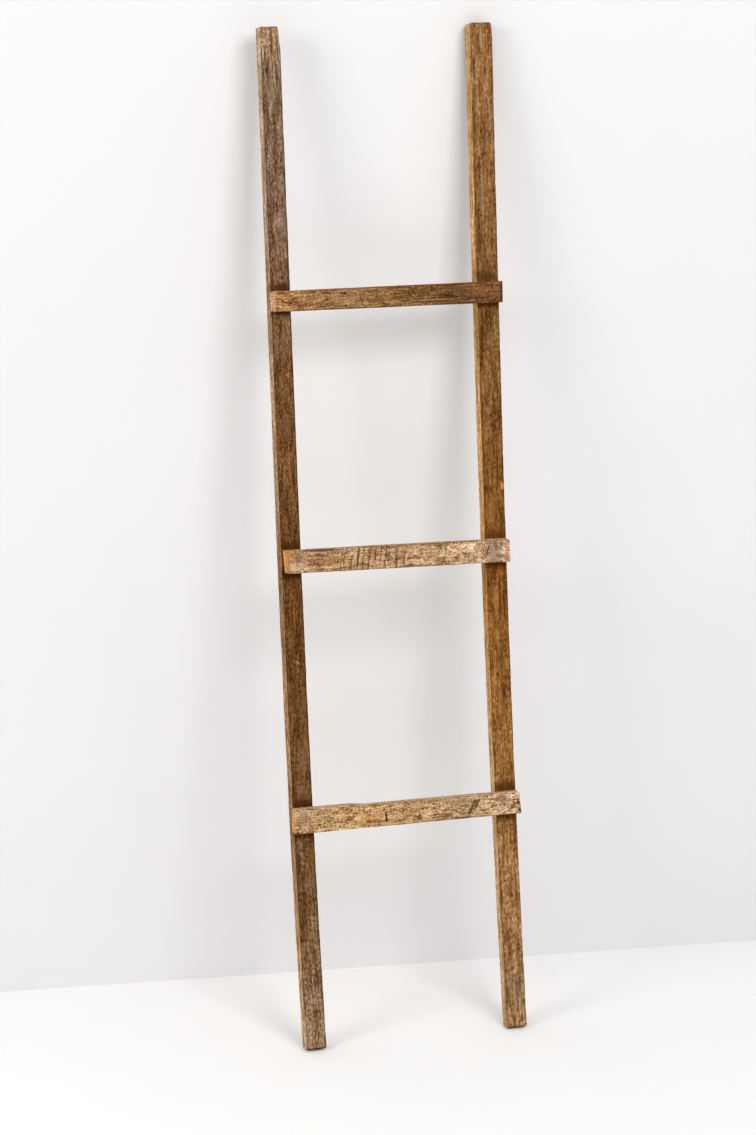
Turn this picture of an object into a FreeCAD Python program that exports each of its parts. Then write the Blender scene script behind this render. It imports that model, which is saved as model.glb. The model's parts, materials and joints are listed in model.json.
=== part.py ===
import FreeCAD, Part

import math
import os
from dataclasses import dataclass

# Blanket ladder made of five reclaimed hardwood battens: two long rails that lean
# against a wall and three short rungs lapped across the front of the rails.
# Each lap is held by two countersunk wood screws driven from behind.
#
# Bench frame, in millimetres: X runs across the ladder, Z runs up the rails, and Y runs
# from the front to the back. The rails' front faces and the rungs' back faces share the
# plane Y = 0. The bench line Y = 0, Z = 0 is where that plane meets the floor, so a
# height on the bench is a length measured up the front of the rails from the floor.
# The finished ladder is then tipped back by the lean.

# ---- stance ----
LEAN_DEG = 9.7                  # backward lean of the rails, measured from upright

# ---- rails ----
RAIL_SPACING = 377.6            # between the two centrelines at the floor
LEFT_RAIL_LENGTH = 1800.0
LEFT_RAIL_FOOT_WIDTH = 38.2
LEFT_RAIL_HEAD_WIDTH = 36.3
LEFT_RAIL_FOOT_DEPTH = 27.5
LEFT_RAIL_HEAD_DEPTH = 28.0
LEFT_RAIL_DRIFT = 9.3           # how far the head lies to the left of the foot
LEFT_RAIL_SPRING = 5.2          # sideways bow of the grain, to the left
LEFT_RAIL_SPRING_SKEW = 0.65    # above 0, the bow is fullest below mid length
RIGHT_RAIL_LENGTH = 1806.5
RIGHT_RAIL_FOOT_WIDTH = 39.0
RIGHT_RAIL_HEAD_WIDTH = 42.5
RIGHT_RAIL_FOOT_DEPTH = 23.0
RIGHT_RAIL_HEAD_DEPTH = 27.5
RIGHT_RAIL_DRIFT = 3.0
RIGHT_RAIL_SPRING = 7.5
RIGHT_RAIL_SPRING_SKEW = 0.3
RAIL_ARRIS = 1.4                # width of the bevel that wear has left on the edges
SPRUNG_EDGE_SPANS = 4           # spans of the smooth curve that a sprung edge follows

# ---- rungs: heights are measured up the front of the rails, at each rail's centreline ----
TOP_RUNG_LEFT_RISE = 1331.6
TOP_RUNG_RIGHT_RISE = 1336.0
TOP_RUNG_LEFT_HEIGHT = 36.1
TOP_RUNG_RIGHT_HEIGHT = 38.1
TOP_RUNG_THICKNESS = 18.5
MIDDLE_RUNG_LEFT_RISE = 877.9
MIDDLE_RUNG_RIGHT_RISE = 876.0
MIDDLE_RUNG_LEFT_HEIGHT = 41.5
MIDDLE_RUNG_RIGHT_HEIGHT = 42.1
MIDDLE_RUNG_THICKNESS = 19.5
BOTTOM_RUNG_LEFT_RISE = 419.3
BOTTOM_RUNG_RIGHT_RISE = 421.3
BOTTOM_RUNG_LEFT_HEIGHT = 44.6
BOTTOM_RUNG_RIGHT_HEIGHT = 43.8
BOTTOM_RUNG_THICKNESS = 19.0
BOTTOM_RUNG_STEP_START = 108.0  # from the left end to the shallow step in its top edge
BOTTOM_RUNG_STEP_RUN = 22.0
BOTTOM_RUNG_STEP_DROP = 2.8
RUNG_ARRIS = 1.1

# ---- screws and old nail holes ----
SCREW_LENGTH = 38.0
SCREW_SHANK_D = 4.0
SCREW_HEAD_D = 8.0
SCREW_HEAD_SINK = 0.6           # depth of the head below the back of the rail
SCREW_EDGE = 9.0                # from the screw's axis to the edges of the lapped battens
SHANK_CLEARANCE = 0.3           # between the shank and its hole in the rail, on the radius
NAIL_HOLE_D = 2.2
NAIL_HOLE_DEPTH = 5.0


@dataclass(frozen=True)
class Rail:
    """A long batten: bowed to the left, tapered in width and depth, worn at its ends."""

    foot_x: float
    length: float
    foot_width: float
    head_width: float
    foot_depth: float
    head_depth: float
    drift: float
    spring: float
    spring_skew: float
    shoulder_run: float         # worn slope at the right of the head: its length
    shoulder_drop: float        # and how much width it takes away
    shoulder_round: float
    head_left_round: float
    head_right_round: float
    foot_left_round: float
    foot_right_round: float

    def foot(self):
        """Height of the foot's end: its back edge then stands on the floor."""
        return self.foot_depth * math.tan(math.radians(LEAN_DEG))

    def head(self):
        """Height of the upper end."""
        return self.foot() + self.length

    def share(self, rise):
        """How far up the rail a height lies, from 0 at the foot to 1 at the head."""
        return (rise - self.foot()) / self.length

    def centre_x(self, rise):
        """Centreline of the sprung rail at a height."""
        along = self.share(rise)
        bow = 4.0 * along * (1.0 - along) * (1.0 + self.spring_skew * (1.0 - 2.0 * along))
        return self.foot_x - self.drift * along - self.spring * bow

    def width(self, rise):
        """Width of the front face at a height."""
        return self.foot_width + (self.head_width - self.foot_width) * self.share(rise)

    def depth(self, rise):
        """Distance from the front face to the back face at a height."""
        return self.foot_depth + (self.head_depth - self.foot_depth) * self.share(rise)

    def edge_x(self, rise, side):
        """Edge of the front face at a height: side is -1 on the left and 1 on the right."""
        return self.centre_x(rise) + side * self.width(rise) / 2.0


@dataclass(frozen=True)
class Rung:
    """A short batten lapped across the rails' front faces."""

    left_rise: float
    right_rise: float
    left_height: float
    right_height: float
    thickness: float
    left_overhang: float        # past the left rail's outer side; negative is short of it
    right_overhang: float       # past the right rail's outer side
    left_slant: float           # how much further right the lower left corner lies
    right_slant: float          # how much further right the lower right corner lies
    upper_right_round: float
    corner_round: float
    step_start: float = 0.0     # from the left end to the slope in the upper edge
    step_run: float = 0.0
    step_drop: float = 0.0
    step_round: float = 0.0

    def share(self, x):
        """How far along the rung a place lies, from 0 at the left rail to 1 at the right."""
        left_x = LEFT_RAIL.centre_x(self.left_rise)
        return (x - left_x) / (RIGHT_RAIL.centre_x(self.right_rise) - left_x)

    def axis_z(self, x):
        """Height of the rung's centreline at a place along it."""
        return self.left_rise + (self.right_rise - self.left_rise) * self.share(x)

    def height(self, x):
        """Height of the rung's face at a place along it, before any step."""
        return self.left_height + (self.right_height - self.left_height) * self.share(x)

    def edge_z(self, x, side):
        """Upper (side 1) or lower (side -1) edge of the face at a place along the rung."""
        return self.axis_z(x) + side * self.height(x) / 2.0

    def left_end(self):
        """Upper corner of the left end."""
        return LEFT_RAIL.edge_x(self.left_rise, -1) - self.left_overhang

    def right_end(self):
        """Upper corner of the right end."""
        return RIGHT_RAIL.edge_x(self.right_rise, 1) + self.right_overhang


LEFT_RAIL = Rail(
    foot_x=-RAIL_SPACING / 2.0,
    length=LEFT_RAIL_LENGTH,
    foot_width=LEFT_RAIL_FOOT_WIDTH,
    head_width=LEFT_RAIL_HEAD_WIDTH,
    foot_depth=LEFT_RAIL_FOOT_DEPTH,
    head_depth=LEFT_RAIL_HEAD_DEPTH,
    drift=LEFT_RAIL_DRIFT,
    spring=LEFT_RAIL_SPRING,
    spring_skew=LEFT_RAIL_SPRING_SKEW,
    shoulder_run=32.0,
    shoulder_drop=3.2,
    shoulder_round=60.0,
    head_left_round=2.5,
    head_right_round=2.0,
    foot_left_round=2.2,
    foot_right_round=3.0,
)
RIGHT_RAIL = Rail(
    foot_x=RAIL_SPACING / 2.0,
    length=RIGHT_RAIL_LENGTH,
    foot_width=RIGHT_RAIL_FOOT_WIDTH,
    head_width=RIGHT_RAIL_HEAD_WIDTH,
    foot_depth=RIGHT_RAIL_FOOT_DEPTH,
    head_depth=RIGHT_RAIL_HEAD_DEPTH,
    drift=RIGHT_RAIL_DRIFT,
    spring=RIGHT_RAIL_SPRING,
    spring_skew=RIGHT_RAIL_SPRING_SKEW,
    shoulder_run=24.0,
    shoulder_drop=1.4,
    shoulder_round=60.0,
    head_left_round=6.0,
    head_right_round=3.0,
    foot_left_round=2.2,
    foot_right_round=4.5,
)
RUNGS = {
    "top": Rung(
        left_rise=TOP_RUNG_LEFT_RISE,
        right_rise=TOP_RUNG_RIGHT_RISE,
        left_height=TOP_RUNG_LEFT_HEIGHT,
        right_height=TOP_RUNG_RIGHT_HEIGHT,
        thickness=TOP_RUNG_THICKNESS,
        left_overhang=0.6,
        right_overhang=1.8,
        left_slant=0.4,
        right_slant=-0.8,
        upper_right_round=1.6,
        corner_round=1.6,
    ),
    "middle": Rung(
        left_rise=MIDDLE_RUNG_LEFT_RISE,
        right_rise=MIDDLE_RUNG_RIGHT_RISE,
        left_height=MIDDLE_RUNG_LEFT_HEIGHT,
        right_height=MIDDLE_RUNG_RIGHT_HEIGHT,
        thickness=MIDDLE_RUNG_THICKNESS,
        left_overhang=-3.8,
        right_overhang=0.2,
        left_slant=2.2,
        right_slant=0.6,
        upper_right_round=4.5,
        corner_round=1.6,
    ),
    "bottom": Rung(
        left_rise=BOTTOM_RUNG_LEFT_RISE,
        right_rise=BOTTOM_RUNG_RIGHT_RISE,
        left_height=BOTTOM_RUNG_LEFT_HEIGHT,
        right_height=BOTTOM_RUNG_RIGHT_HEIGHT,
        thickness=BOTTOM_RUNG_THICKNESS,
        left_overhang=2.0,
        right_overhang=0.6,
        left_slant=0.3,
        right_slant=3.0,
        upper_right_round=4.0,
        corner_round=1.8,
        step_start=BOTTOM_RUNG_STEP_START,
        step_run=BOTTOM_RUNG_STEP_RUN,
        step_drop=BOTTOM_RUNG_STEP_DROP,
        step_round=25.0,
    ),
}
# Two old nail holes in the front of the top rung, from the left rail's centreline and the
# rung's own centreline.
NAIL_HOLES = ((-3.7, 3.4), (10.3, -3.8))


@dataclass(frozen=True)
class Corner:
    """A corner of a batten's face, and the edge that runs on from it to the next."""

    x: float
    z: float
    radius: float
    edge_x: object = None       # the x of a sprung edge at a height; None if it is straight
    edge_side: int = 0          # 1 where the batten lies to the left of the sprung edge


def direction(start, end):
    """Unit vector in the plane of the face from one corner to another."""
    length = math.hypot(end.x - start.x, end.z - start.z)
    return (end.x - start.x) / length, (end.z - start.z) / length


def corner_arc(before, corner, after, inset):
    """Start, middle and end of the arc that rounds a corner of the outline, drawn inset."""
    to_before = direction(corner, before)
    to_after = direction(corner, after)
    turn = to_before[0] * to_after[1] - to_before[1] * to_after[0]
    outward = 1.0 if turn > 0.0 else -1.0
    sum_x = to_before[0] + to_after[0]
    sum_z = to_before[1] + to_after[1]
    half_cos = math.hypot(sum_x, sum_z) / 2.0
    half_sin = math.sqrt(1.0 - half_cos * half_cos)
    bisector = (sum_x / (2.0 * half_cos), sum_z / (2.0 * half_cos))
    radius = corner.radius - outward * inset
    shift = outward * inset / half_sin
    tip = (corner.x + bisector[0] * shift, corner.z + bisector[1] * shift)
    reach = radius * half_cos / half_sin
    depth = radius / half_sin - radius
    start = (tip[0] + to_before[0] * reach, tip[1] + to_before[1] * reach)
    middle = (tip[0] + bisector[0] * depth, tip[1] + bisector[1] * depth)
    end = (tip[0] + to_after[0] * reach, tip[1] + to_after[1] * reach)
    return start, middle, end


def face_ring(corners, inset, y_at):
    """Closed outline of a batten at one depth: rounded corners, straight or bowed edges."""
    count = len(corners)
    arcs = []
    for index, corner in enumerate(corners):
        arcs.append(corner_arc(corners[index - 1], corner, corners[(index + 1) % count], inset))

    def placed(place):
        return FreeCAD.Vector(place[0], y_at(place[1]), place[1])

    edges = []
    for index, (start, middle, end) in enumerate(arcs):
        following = arcs[(index + 1) % count][0]
        edges.append(Part.Arc(placed(start), placed(middle), placed(end)).toShape())
        corner = corners[index]
        if corner.edge_x is None:
            edges.append(Part.LineSegment(placed(end), placed(following)).toShape())
            continue
        points = [placed(end)]
        for step in range(1, SPRUNG_EDGE_SPANS):
            z = end[1] + (following[1] - end[1]) * step / SPRUNG_EDGE_SPANS
            points.append(placed((corner.edge_x(z) - corner.edge_side * inset, z)))
        curve = Part.BSplineCurve()
        curve.interpolate(points + [placed(following)])
        edges.append(curve.toShape())
    return Part.Wire(edges)


def batten(corners, bevel, y_near, y_far):
    """Solid between a near and a far face, with every arris of both faces beveled."""
    rings = [
        face_ring(corners, bevel, y_near),
        face_ring(corners, 0.0, lambda z: y_near(z) + bevel),
        face_ring(corners, 0.0, lambda z: y_far(z) - bevel),
        face_ring(corners, bevel, y_far),
    ]
    return Part.makeLoft(rings, True, True)


def rail_solid(rail):
    """A rail with its spring, its tapers, its worn ends and its beveled arrises."""
    foot = rail.foot()
    head = rail.head()
    shoulder = head - rail.shoulder_run

    def left_x(z):
        return rail.edge_x(z, -1)

    def right_x(z):
        return rail.edge_x(z, 1)

    corners = [
        Corner(left_x(head), head, rail.head_left_round),
        Corner(right_x(head) - rail.shoulder_drop, head, rail.head_right_round),
        Corner(right_x(shoulder), shoulder, rail.shoulder_round, right_x, 1),
        Corner(right_x(foot), foot, rail.foot_right_round),
        Corner(left_x(foot), foot, rail.foot_left_round, left_x, -1),
    ]
    return batten(corners, RAIL_ARRIS, lambda z: 0.0, rail.depth)


def rung_solid(rung):
    """A rung: tapered face, saw-cut ends a little out of square, beveled arrises."""
    left = rung.left_end()
    right = rung.right_end()
    lower_left = left + rung.left_slant
    lower_right = right + rung.right_slant
    corners = [Corner(left, rung.edge_z(left, 1), rung.corner_round)]
    if rung.step_drop:
        high = left + rung.step_start
        low = high + rung.step_run
        corners.append(Corner(high, rung.edge_z(high, 1), rung.step_round))
        corners.append(Corner(low, rung.edge_z(low, 1) - rung.step_drop, rung.step_round))
    upper_right = rung.edge_z(right, 1) - rung.step_drop
    corners.append(Corner(right, upper_right, rung.upper_right_round))
    corners.append(Corner(lower_right, rung.edge_z(lower_right, -1), rung.corner_round))
    corners.append(Corner(lower_left, rung.edge_z(lower_left, -1), rung.corner_round))
    return batten(corners, RUNG_ARRIS, lambda z: -rung.thickness, lambda z: 0.0)


def spun(profile, x, z):
    """A solid of revolution about an axis through the battens, from (radius, y) points."""
    points = [FreeCAD.Vector(x + radius, y, z) for radius, y in profile]
    face = Part.Face(Part.makePolygon(points + points[:1]))
    axis_foot = FreeCAD.Vector(x, 0.0, z)
    return face.revolve(axis_foot, FreeCAD.Vector(0.0, 1.0, 0.0), 360.0)


def head_seat_y(rail, z):
    """Where the flat top of a screw's head lies: just under the back of the rail."""
    return rail.depth(z) - SCREW_HEAD_SINK


def screw_solid(rail, x, z):
    """A countersunk wood screw that points forward through the rail into the rung."""
    top = head_seat_y(rail, z)
    head_r = SCREW_HEAD_D / 2.0
    shank_r = SCREW_SHANK_D / 2.0
    profile = [
        (0.0, top),
        (head_r, top),
        (shank_r, top - (head_r - shank_r)),
        (shank_r, top - SCREW_LENGTH),
        (0.0, top - SCREW_LENGTH),
    ]
    return spun(profile, x, z)


def rail_hole(rail, x, z):
    """Clearance hole and its right-angled countersink, in which the screw's head seats."""
    top = head_seat_y(rail, z)
    head_r = SCREW_HEAD_D / 2.0
    hole_r = SCREW_SHANK_D / 2.0 + SHANK_CLEARANCE
    past_back = 2.0 * SCREW_HEAD_SINK
    past_front = -SCREW_HEAD_D
    profile = [
        (0.0, top + past_back),
        (head_r + past_back, top + past_back),
        (hole_r, top - (head_r - hole_r)),
        (hole_r, past_front),
        (0.0, past_front),
    ]
    return spun(profile, x, z)


def screw_places(rung, rail, rise):
    """Two places in a lap, on a diagonal, each the edge distance inside both battens."""
    centre = rail.centre_x(rise)
    across = rail.width(rise) / 2.0 - SCREW_EDGE
    left_x = centre - across
    right_x = centre + across
    upper_z = rung.edge_z(left_x, 1) - rung.step_drop - SCREW_EDGE
    lower_z = rung.edge_z(right_x, -1) + SCREW_EDGE
    return [(left_x, upper_z), (right_x, lower_z)]


def nail_hole(rung, x_from_rail, z_from_axis):
    """A small blind hole in the front of a rung, over the left rail."""
    x = LEFT_RAIL.centre_x(rung.left_rise) + x_from_rail
    z = rung.axis_z(x) + z_from_axis
    start = FreeCAD.Vector(x, -rung.thickness - 1.0, z)
    forward = FreeCAD.Vector(0.0, 1.0, 0.0)
    return Part.makeCylinder(NAIL_HOLE_D / 2.0, NAIL_HOLE_DEPTH + 1.0, start, forward)


def build_ladder():
    """All the pieces on the bench, as a dictionary of node names and shapes."""
    rails = {"left": rail_solid(LEFT_RAIL), "right": rail_solid(RIGHT_RAIL)}
    pieces = {}
    for level, rung in RUNGS.items():
        rung_shape = rung_solid(rung)
        level_screws = []
        laps = (("left", LEFT_RAIL, rung.left_rise), ("right", RIGHT_RAIL, rung.right_rise))
        for side, rail, rise in laps:
            places = screw_places(rung, rail, rise)
            screws = [screw_solid(rail, x, z) for x, z in places]
            for (x, z), screw in zip(places, screws):
                rails[side] = rails[side].cut(rail_hole(rail, x, z))
                rung_shape = rung_shape.cut(screw)
            level_screws.extend(screws)
        if level == "top":
            for hole in NAIL_HOLES:
                rung_shape = rung_shape.cut(nail_hole(rung, *hole))
        pieces[f"{level}_rung"] = rung_shape
        pieces[f"{level}_rung_screws"] = Part.Compound(level_screws)
    pieces["left_rail"] = rails["left"]
    pieces["right_rail"] = rails["right"]
    return pieces


def lean_back(pieces):
    """Tips the ladder back and puts the origin on the floor, at the middle of its box."""
    across = FreeCAD.Vector(1.0, 0.0, 0.0)
    for shape in pieces.values():
        shape.rotate(FreeCAD.Vector(0.0, 0.0, 0.0), across, -LEAN_DEG)
    box = Part.Compound(list(pieces.values())).optimalBoundingBox(False, False)
    middle = FreeCAD.Vector(-box.Center.x, -box.Center.y, -box.ZMin)
    for shape in pieces.values():
        shape.translate(middle)
    return box, middle


def main():
    os.makedirs("parts", exist_ok=True)
    pieces = build_ladder()
    box, middle = lean_back(pieces)
    for name, shape in sorted(pieces.items()):
        shape.exportStep(os.path.join("parts", f"{name}.step"))
        print(f"{name}: {len(shape.Solids)} solid, {shape.Volume / 1000.0:.1f} cm3, valid {shape.isValid()}")
    print(f"overall {box.XLength:.1f} x {box.YLength:.1f} x {box.ZLength:.1f} mm")
    print(f"bench origin lies at {middle.x:.2f}, {middle.y:.2f}, {middle.z:.2f}")


main()
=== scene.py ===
"""Looks of a leaning blanket ladder: five weathered battens held by twelve wood screws."""

import json
import logging
import math
from dataclasses import dataclass
from enum import Enum
from functools import reduce

import bpy
import numpy as np
from mathutils import Matrix, Vector
from mathutils.bvhtree import BVHTree


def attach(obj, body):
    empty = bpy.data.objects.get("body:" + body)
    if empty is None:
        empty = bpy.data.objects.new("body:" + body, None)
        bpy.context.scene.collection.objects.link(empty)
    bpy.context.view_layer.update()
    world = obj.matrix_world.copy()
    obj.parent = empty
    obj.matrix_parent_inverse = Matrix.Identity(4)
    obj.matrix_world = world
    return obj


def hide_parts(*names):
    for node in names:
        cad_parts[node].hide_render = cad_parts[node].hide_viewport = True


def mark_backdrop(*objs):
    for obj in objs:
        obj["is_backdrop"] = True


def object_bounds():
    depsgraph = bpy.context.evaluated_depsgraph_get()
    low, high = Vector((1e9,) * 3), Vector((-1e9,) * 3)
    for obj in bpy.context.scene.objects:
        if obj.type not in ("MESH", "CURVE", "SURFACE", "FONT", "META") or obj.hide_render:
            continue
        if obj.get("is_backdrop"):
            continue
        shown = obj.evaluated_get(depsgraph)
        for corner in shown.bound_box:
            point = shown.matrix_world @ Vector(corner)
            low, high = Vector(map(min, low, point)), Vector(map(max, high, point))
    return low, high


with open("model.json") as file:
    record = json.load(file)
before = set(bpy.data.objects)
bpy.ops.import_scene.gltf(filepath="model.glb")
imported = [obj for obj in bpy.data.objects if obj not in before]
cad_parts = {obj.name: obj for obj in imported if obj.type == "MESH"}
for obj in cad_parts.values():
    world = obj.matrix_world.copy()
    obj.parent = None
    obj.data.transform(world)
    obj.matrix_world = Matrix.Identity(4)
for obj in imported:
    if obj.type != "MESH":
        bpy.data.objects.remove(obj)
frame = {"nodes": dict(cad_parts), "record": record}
frame_box = [list(corner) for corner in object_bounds()]

Tree = bpy.types.NodeTree
Node = bpy.types.Node
Socket = bpy.types.NodeSocket
Material = bpy.types.Material
Object = bpy.types.Object

LOG = logging.getLogger("blanket_ladder")
MM = 0.001                      # one millimetre in metres, the scene's unit
BODY = "root"                   # the frame's only body


# ---------------------------------------------------------------- small helpers


def srgb(code: str) -> tuple[float, float, float, float]:
    """Turns a colour written as on a paint card into a linear one.

    Args:
        code: six hex digits after a hash sign.

    Returns:
        Linear red, green, blue and an alpha of 1.
    """
    parts = [int(code[i:i + 2], 16) / 255.0 for i in (1, 3, 5)]
    linear = [p / 12.92 if p <= 0.04045 else ((p + 0.055) / 1.055) ** 2.4 for p in parts]
    return (linear[0], linear[1], linear[2], 1.0)


def add_object(name: str, data: object) -> Object:
    """A new object of the scene, at the origin, that holds the given data."""
    made = bpy.data.objects.new(name, data)
    bpy.context.scene.collection.objects.link(made)
    return made


def add_mesh(name: str, points: object, faces: list) -> Object:
    """A new mesh object from points in the room and faces as vertex numbers."""
    mesh = bpy.data.meshes.new(name)
    mesh.from_pydata(points, [], faces)
    return add_object(name, mesh)


class Graph:
    """Short hand for wiring one node tree, of a material, a node group or a modifier."""

    def __init__(self, tree: Tree) -> None:
        """Takes the tree to wire."""
        self.tree = tree

    def put(self, target: Socket, value: object) -> None:
        """Links a socket to an input, or writes a plain value on it.

        Args:
            target: the input socket.
            value: another node's output socket, or a number, vector or colour.
        """
        if isinstance(value, Socket):
            self.tree.links.new(value, target)
        else:
            target.default_value = value

    def node(self, kind: str, inputs: dict | None = None, **settings: object) -> Node:
        """Adds a node.

        Args:
            kind: Blender's identifier of the node.
            inputs: input sockets by name or index, with their values or links.
            settings: the node's own properties.

        Returns:
            The new node.
        """
        made = self.tree.nodes.new(kind)
        for name, value in settings.items():
            setattr(made, name, value)
        for key, value in (inputs or {}).items():
            self.put(made.inputs[key], value)
        return made

    def math(self, operation: str, first: object, second: object = 0.0,
             clamp: bool = False) -> Socket:
        """Result of a math node on one or two values."""
        made = self.node("ShaderNodeMath", {0: first}, operation=operation, use_clamp=clamp)
        if operation not in ("FRACT", "ABSOLUTE", "FLOOR"):
            self.put(made.inputs[1], second)
        return made.outputs[0]

    def times(self, *values: object) -> Socket:
        """Product of values, worked out from the first to the last."""
        return reduce(lambda done, value: self.math("MULTIPLY", done, value), values)

    def plus(self, *values: object) -> Socket:
        """Sum of values, worked out from the first to the last."""
        return reduce(lambda done, value: self.math("ADD", done, value), values)

    def minus(self, first: object, second: object) -> Socket:
        """Difference of two values."""
        return self.math("SUBTRACT", first, second)

    def over(self, first: object, second: object) -> Socket:
        """Quotient of two values."""
        return self.math("DIVIDE", first, second)

    def vector(self, operation: str, first: object, second: object) -> Socket:
        """Result of a vector math node on two vectors, or on a vector and a scale."""
        made = self.node("ShaderNodeVectorMath", {0: first}, operation=operation)
        self.put(made.inputs["Scale" if operation == "SCALE" else 1], second)
        return made.outputs["Value" if operation == "LENGTH" else "Vector"]

    def combine(self, x: object, y: object, z: object) -> Socket:
        """A vector from three values."""
        return self.node("ShaderNodeCombineXYZ", {0: x, 1: y, 2: z}).outputs[0]

    def split(self, vector: object) -> tuple[Socket, ...]:
        """The three parts of a vector."""
        return tuple(self.node("ShaderNodeSeparateXYZ", {0: vector}).outputs)

    def noise(self, vector: object, detail: float = 3.0, roughness: float = 0.55) -> Socket:
        """Noise value, about 0.5 on average, with features about one unit of the vector long."""
        values = {"Vector": vector, "Scale": 1.0, "Detail": detail, "Roughness": roughness}
        made = self.node("ShaderNodeTexNoise", values)
        return made.outputs[0]

    def spread(self, value: object, low: object, high: object, to_low: float = 0.0,
               to_high: float = 1.0) -> Socket:
        """Maps a value smoothly from one range to another, held at both ends."""
        made = self.node("ShaderNodeMapRange", {0: value, 1: low, 2: high, 3: to_low, 4: to_high})
        made.interpolation_type = "SMOOTHSTEP"
        return made.outputs[0]

    def mix(self, share: object, under: object, over: object) -> Socket:
        """One colour laid over another by a share from 0 to 1."""
        made = self.node("ShaderNodeMix", {0: share}, data_type="RGBA")
        self.put(made.inputs[6], under)
        self.put(made.inputs[7], over)
        return made.outputs[2]

    def tones(self, place: object, stops: tuple) -> Socket:
        """Colours that change along a value.

        Args:
            place: the value, from 0 to 1.
            stops: pairs of a place and a hex colour, in order.

        Returns:
            The colour socket.
        """
        made = self.node("ShaderNodeValToRGB", {0: place})
        ramp = made.color_ramp
        ramp.interpolation = "EASE"
        while len(ramp.elements) > 1:
            ramp.elements.remove(ramp.elements[-1])
        for index, (at, code) in enumerate(stops):
            stop = ramp.elements[0] if index == 0 else ramp.elements.new(at)
            stop.position = at
            stop.color = srgb(code)
        return made.outputs[0]


def new_material(name: str) -> tuple[Material, Graph]:
    """A material without nodes, and the graph to wire it with."""
    made = bpy.data.materials.new(name)
    made.use_nodes = True
    made.node_tree.nodes.clear()
    return made, Graph(made.node_tree)


def new_group(name: str, kind: str, inputs: dict, outputs: dict) -> tuple[Graph, Node, Node]:
    """Starts a node group with named sockets.

    Args:
        name: the group's name.
        kind: ShaderNodeTree or GeometryNodeTree.
        inputs: input names with (socket kind, default value or None).
        outputs: output names with their socket kinds.

    Returns:
        The graph, its input node and its output node.
    """
    tree = bpy.data.node_groups.new(name, kind)
    for label, (socket, value) in inputs.items():
        made = tree.interface.new_socket(name=label, in_out="INPUT", socket_type="NodeSocket" + socket)
        if value is not None:
            made.default_value = value
    for label, socket in outputs.items():
        tree.interface.new_socket(name=label, in_out="OUTPUT", socket_type="NodeSocket" + socket)
    graph = Graph(tree)
    return graph, graph.node("NodeGroupInput"), graph.node("NodeGroupOutput")


# ---------------------------------------------------------------- shared effects

# Cells are the sizes of a noise's features in millimetres: across, depth and along.
# A pair of numbers after a name in capitals is where a mask starts and where it is full.

KERF_DRIFT_RUN = 23.0           # length over which the spacing of saw marks wanders
KERF_DRIFT = 1.8                # how far it wanders, in pitches
KERF_WOBBLE_CELL = (9.0, 40.0)  # wobble of one mark: across and along
KERF_WOBBLE = 0.5               # its size in pitches
KERF_EDGE = (0.2, 0.07)         # distance from a mark's middle, in pitches
KERF_BREAK_RUN = 30.0           # length over which a mark comes and goes
KERF_BREAK = (0.36, 0.54)
SWAY_CELL = (30.0, 110.0)       # wandering of the fibres: across and along
SWAY = 9.0
BROAD_CELL = (15.0, 15.0, 75.0)
PORE_CELL = (1.3, 1.3, 7.0)
PORE_EDGE = (0.12, 0.22)
FLECK_EDGE = (0.55, 0.66)


def kerf_lines(graph: Graph, place: object, pitch: object, slant: object, seed: object) -> Socket:
    """Wires the marks that a coarse saw leaves across a batten; it serves shaders and meshes.

    Args:
        graph: the tree to wire in.
        place: across, depth and along in millimetres.
        pitch: usual distance between two marks.
        slant: how far a mark runs along for each unit across.
        seed: number that sets the pattern.

    Returns:
        Strength of the mark, from 0 to 1.
    """
    across, _, along = graph.split(place)
    sheared = graph.plus(along, graph.times(across, slant))
    drift = graph.noise(graph.combine(graph.over(sheared, KERF_DRIFT_RUN), seed, 0.0), 2.0)
    wobble_across, wobble_along = KERF_WOBBLE_CELL
    cell = graph.combine(graph.over(across, wobble_across), graph.over(along, wobble_along), seed)
    wobble = graph.noise(cell, 2.0)
    steps = graph.plus(
        graph.over(sheared, pitch), graph.times(drift, KERF_DRIFT), graph.times(wobble, KERF_WOBBLE),
    )
    centre = graph.math("ABSOLUTE", graph.minus(graph.math("FRACT", steps), 0.5))
    line = graph.spread(centre, *KERF_EDGE)
    number = graph.math("FLOOR", steps)
    cell = graph.combine(graph.over(across, KERF_BREAK_RUN), graph.times(number, 1.7), seed)
    return graph.times(line, graph.spread(graph.noise(cell, 2.0), *KERF_BREAK))


class Effect(Enum):
    """Shader groups that more than one finish uses, by the name of their tree."""

    GRAIN = "timber_grain"
    FLECKS = "timber_flecks"
    PATCH = "timber_patch"
    KERFS = "saw_kerfs"


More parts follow.
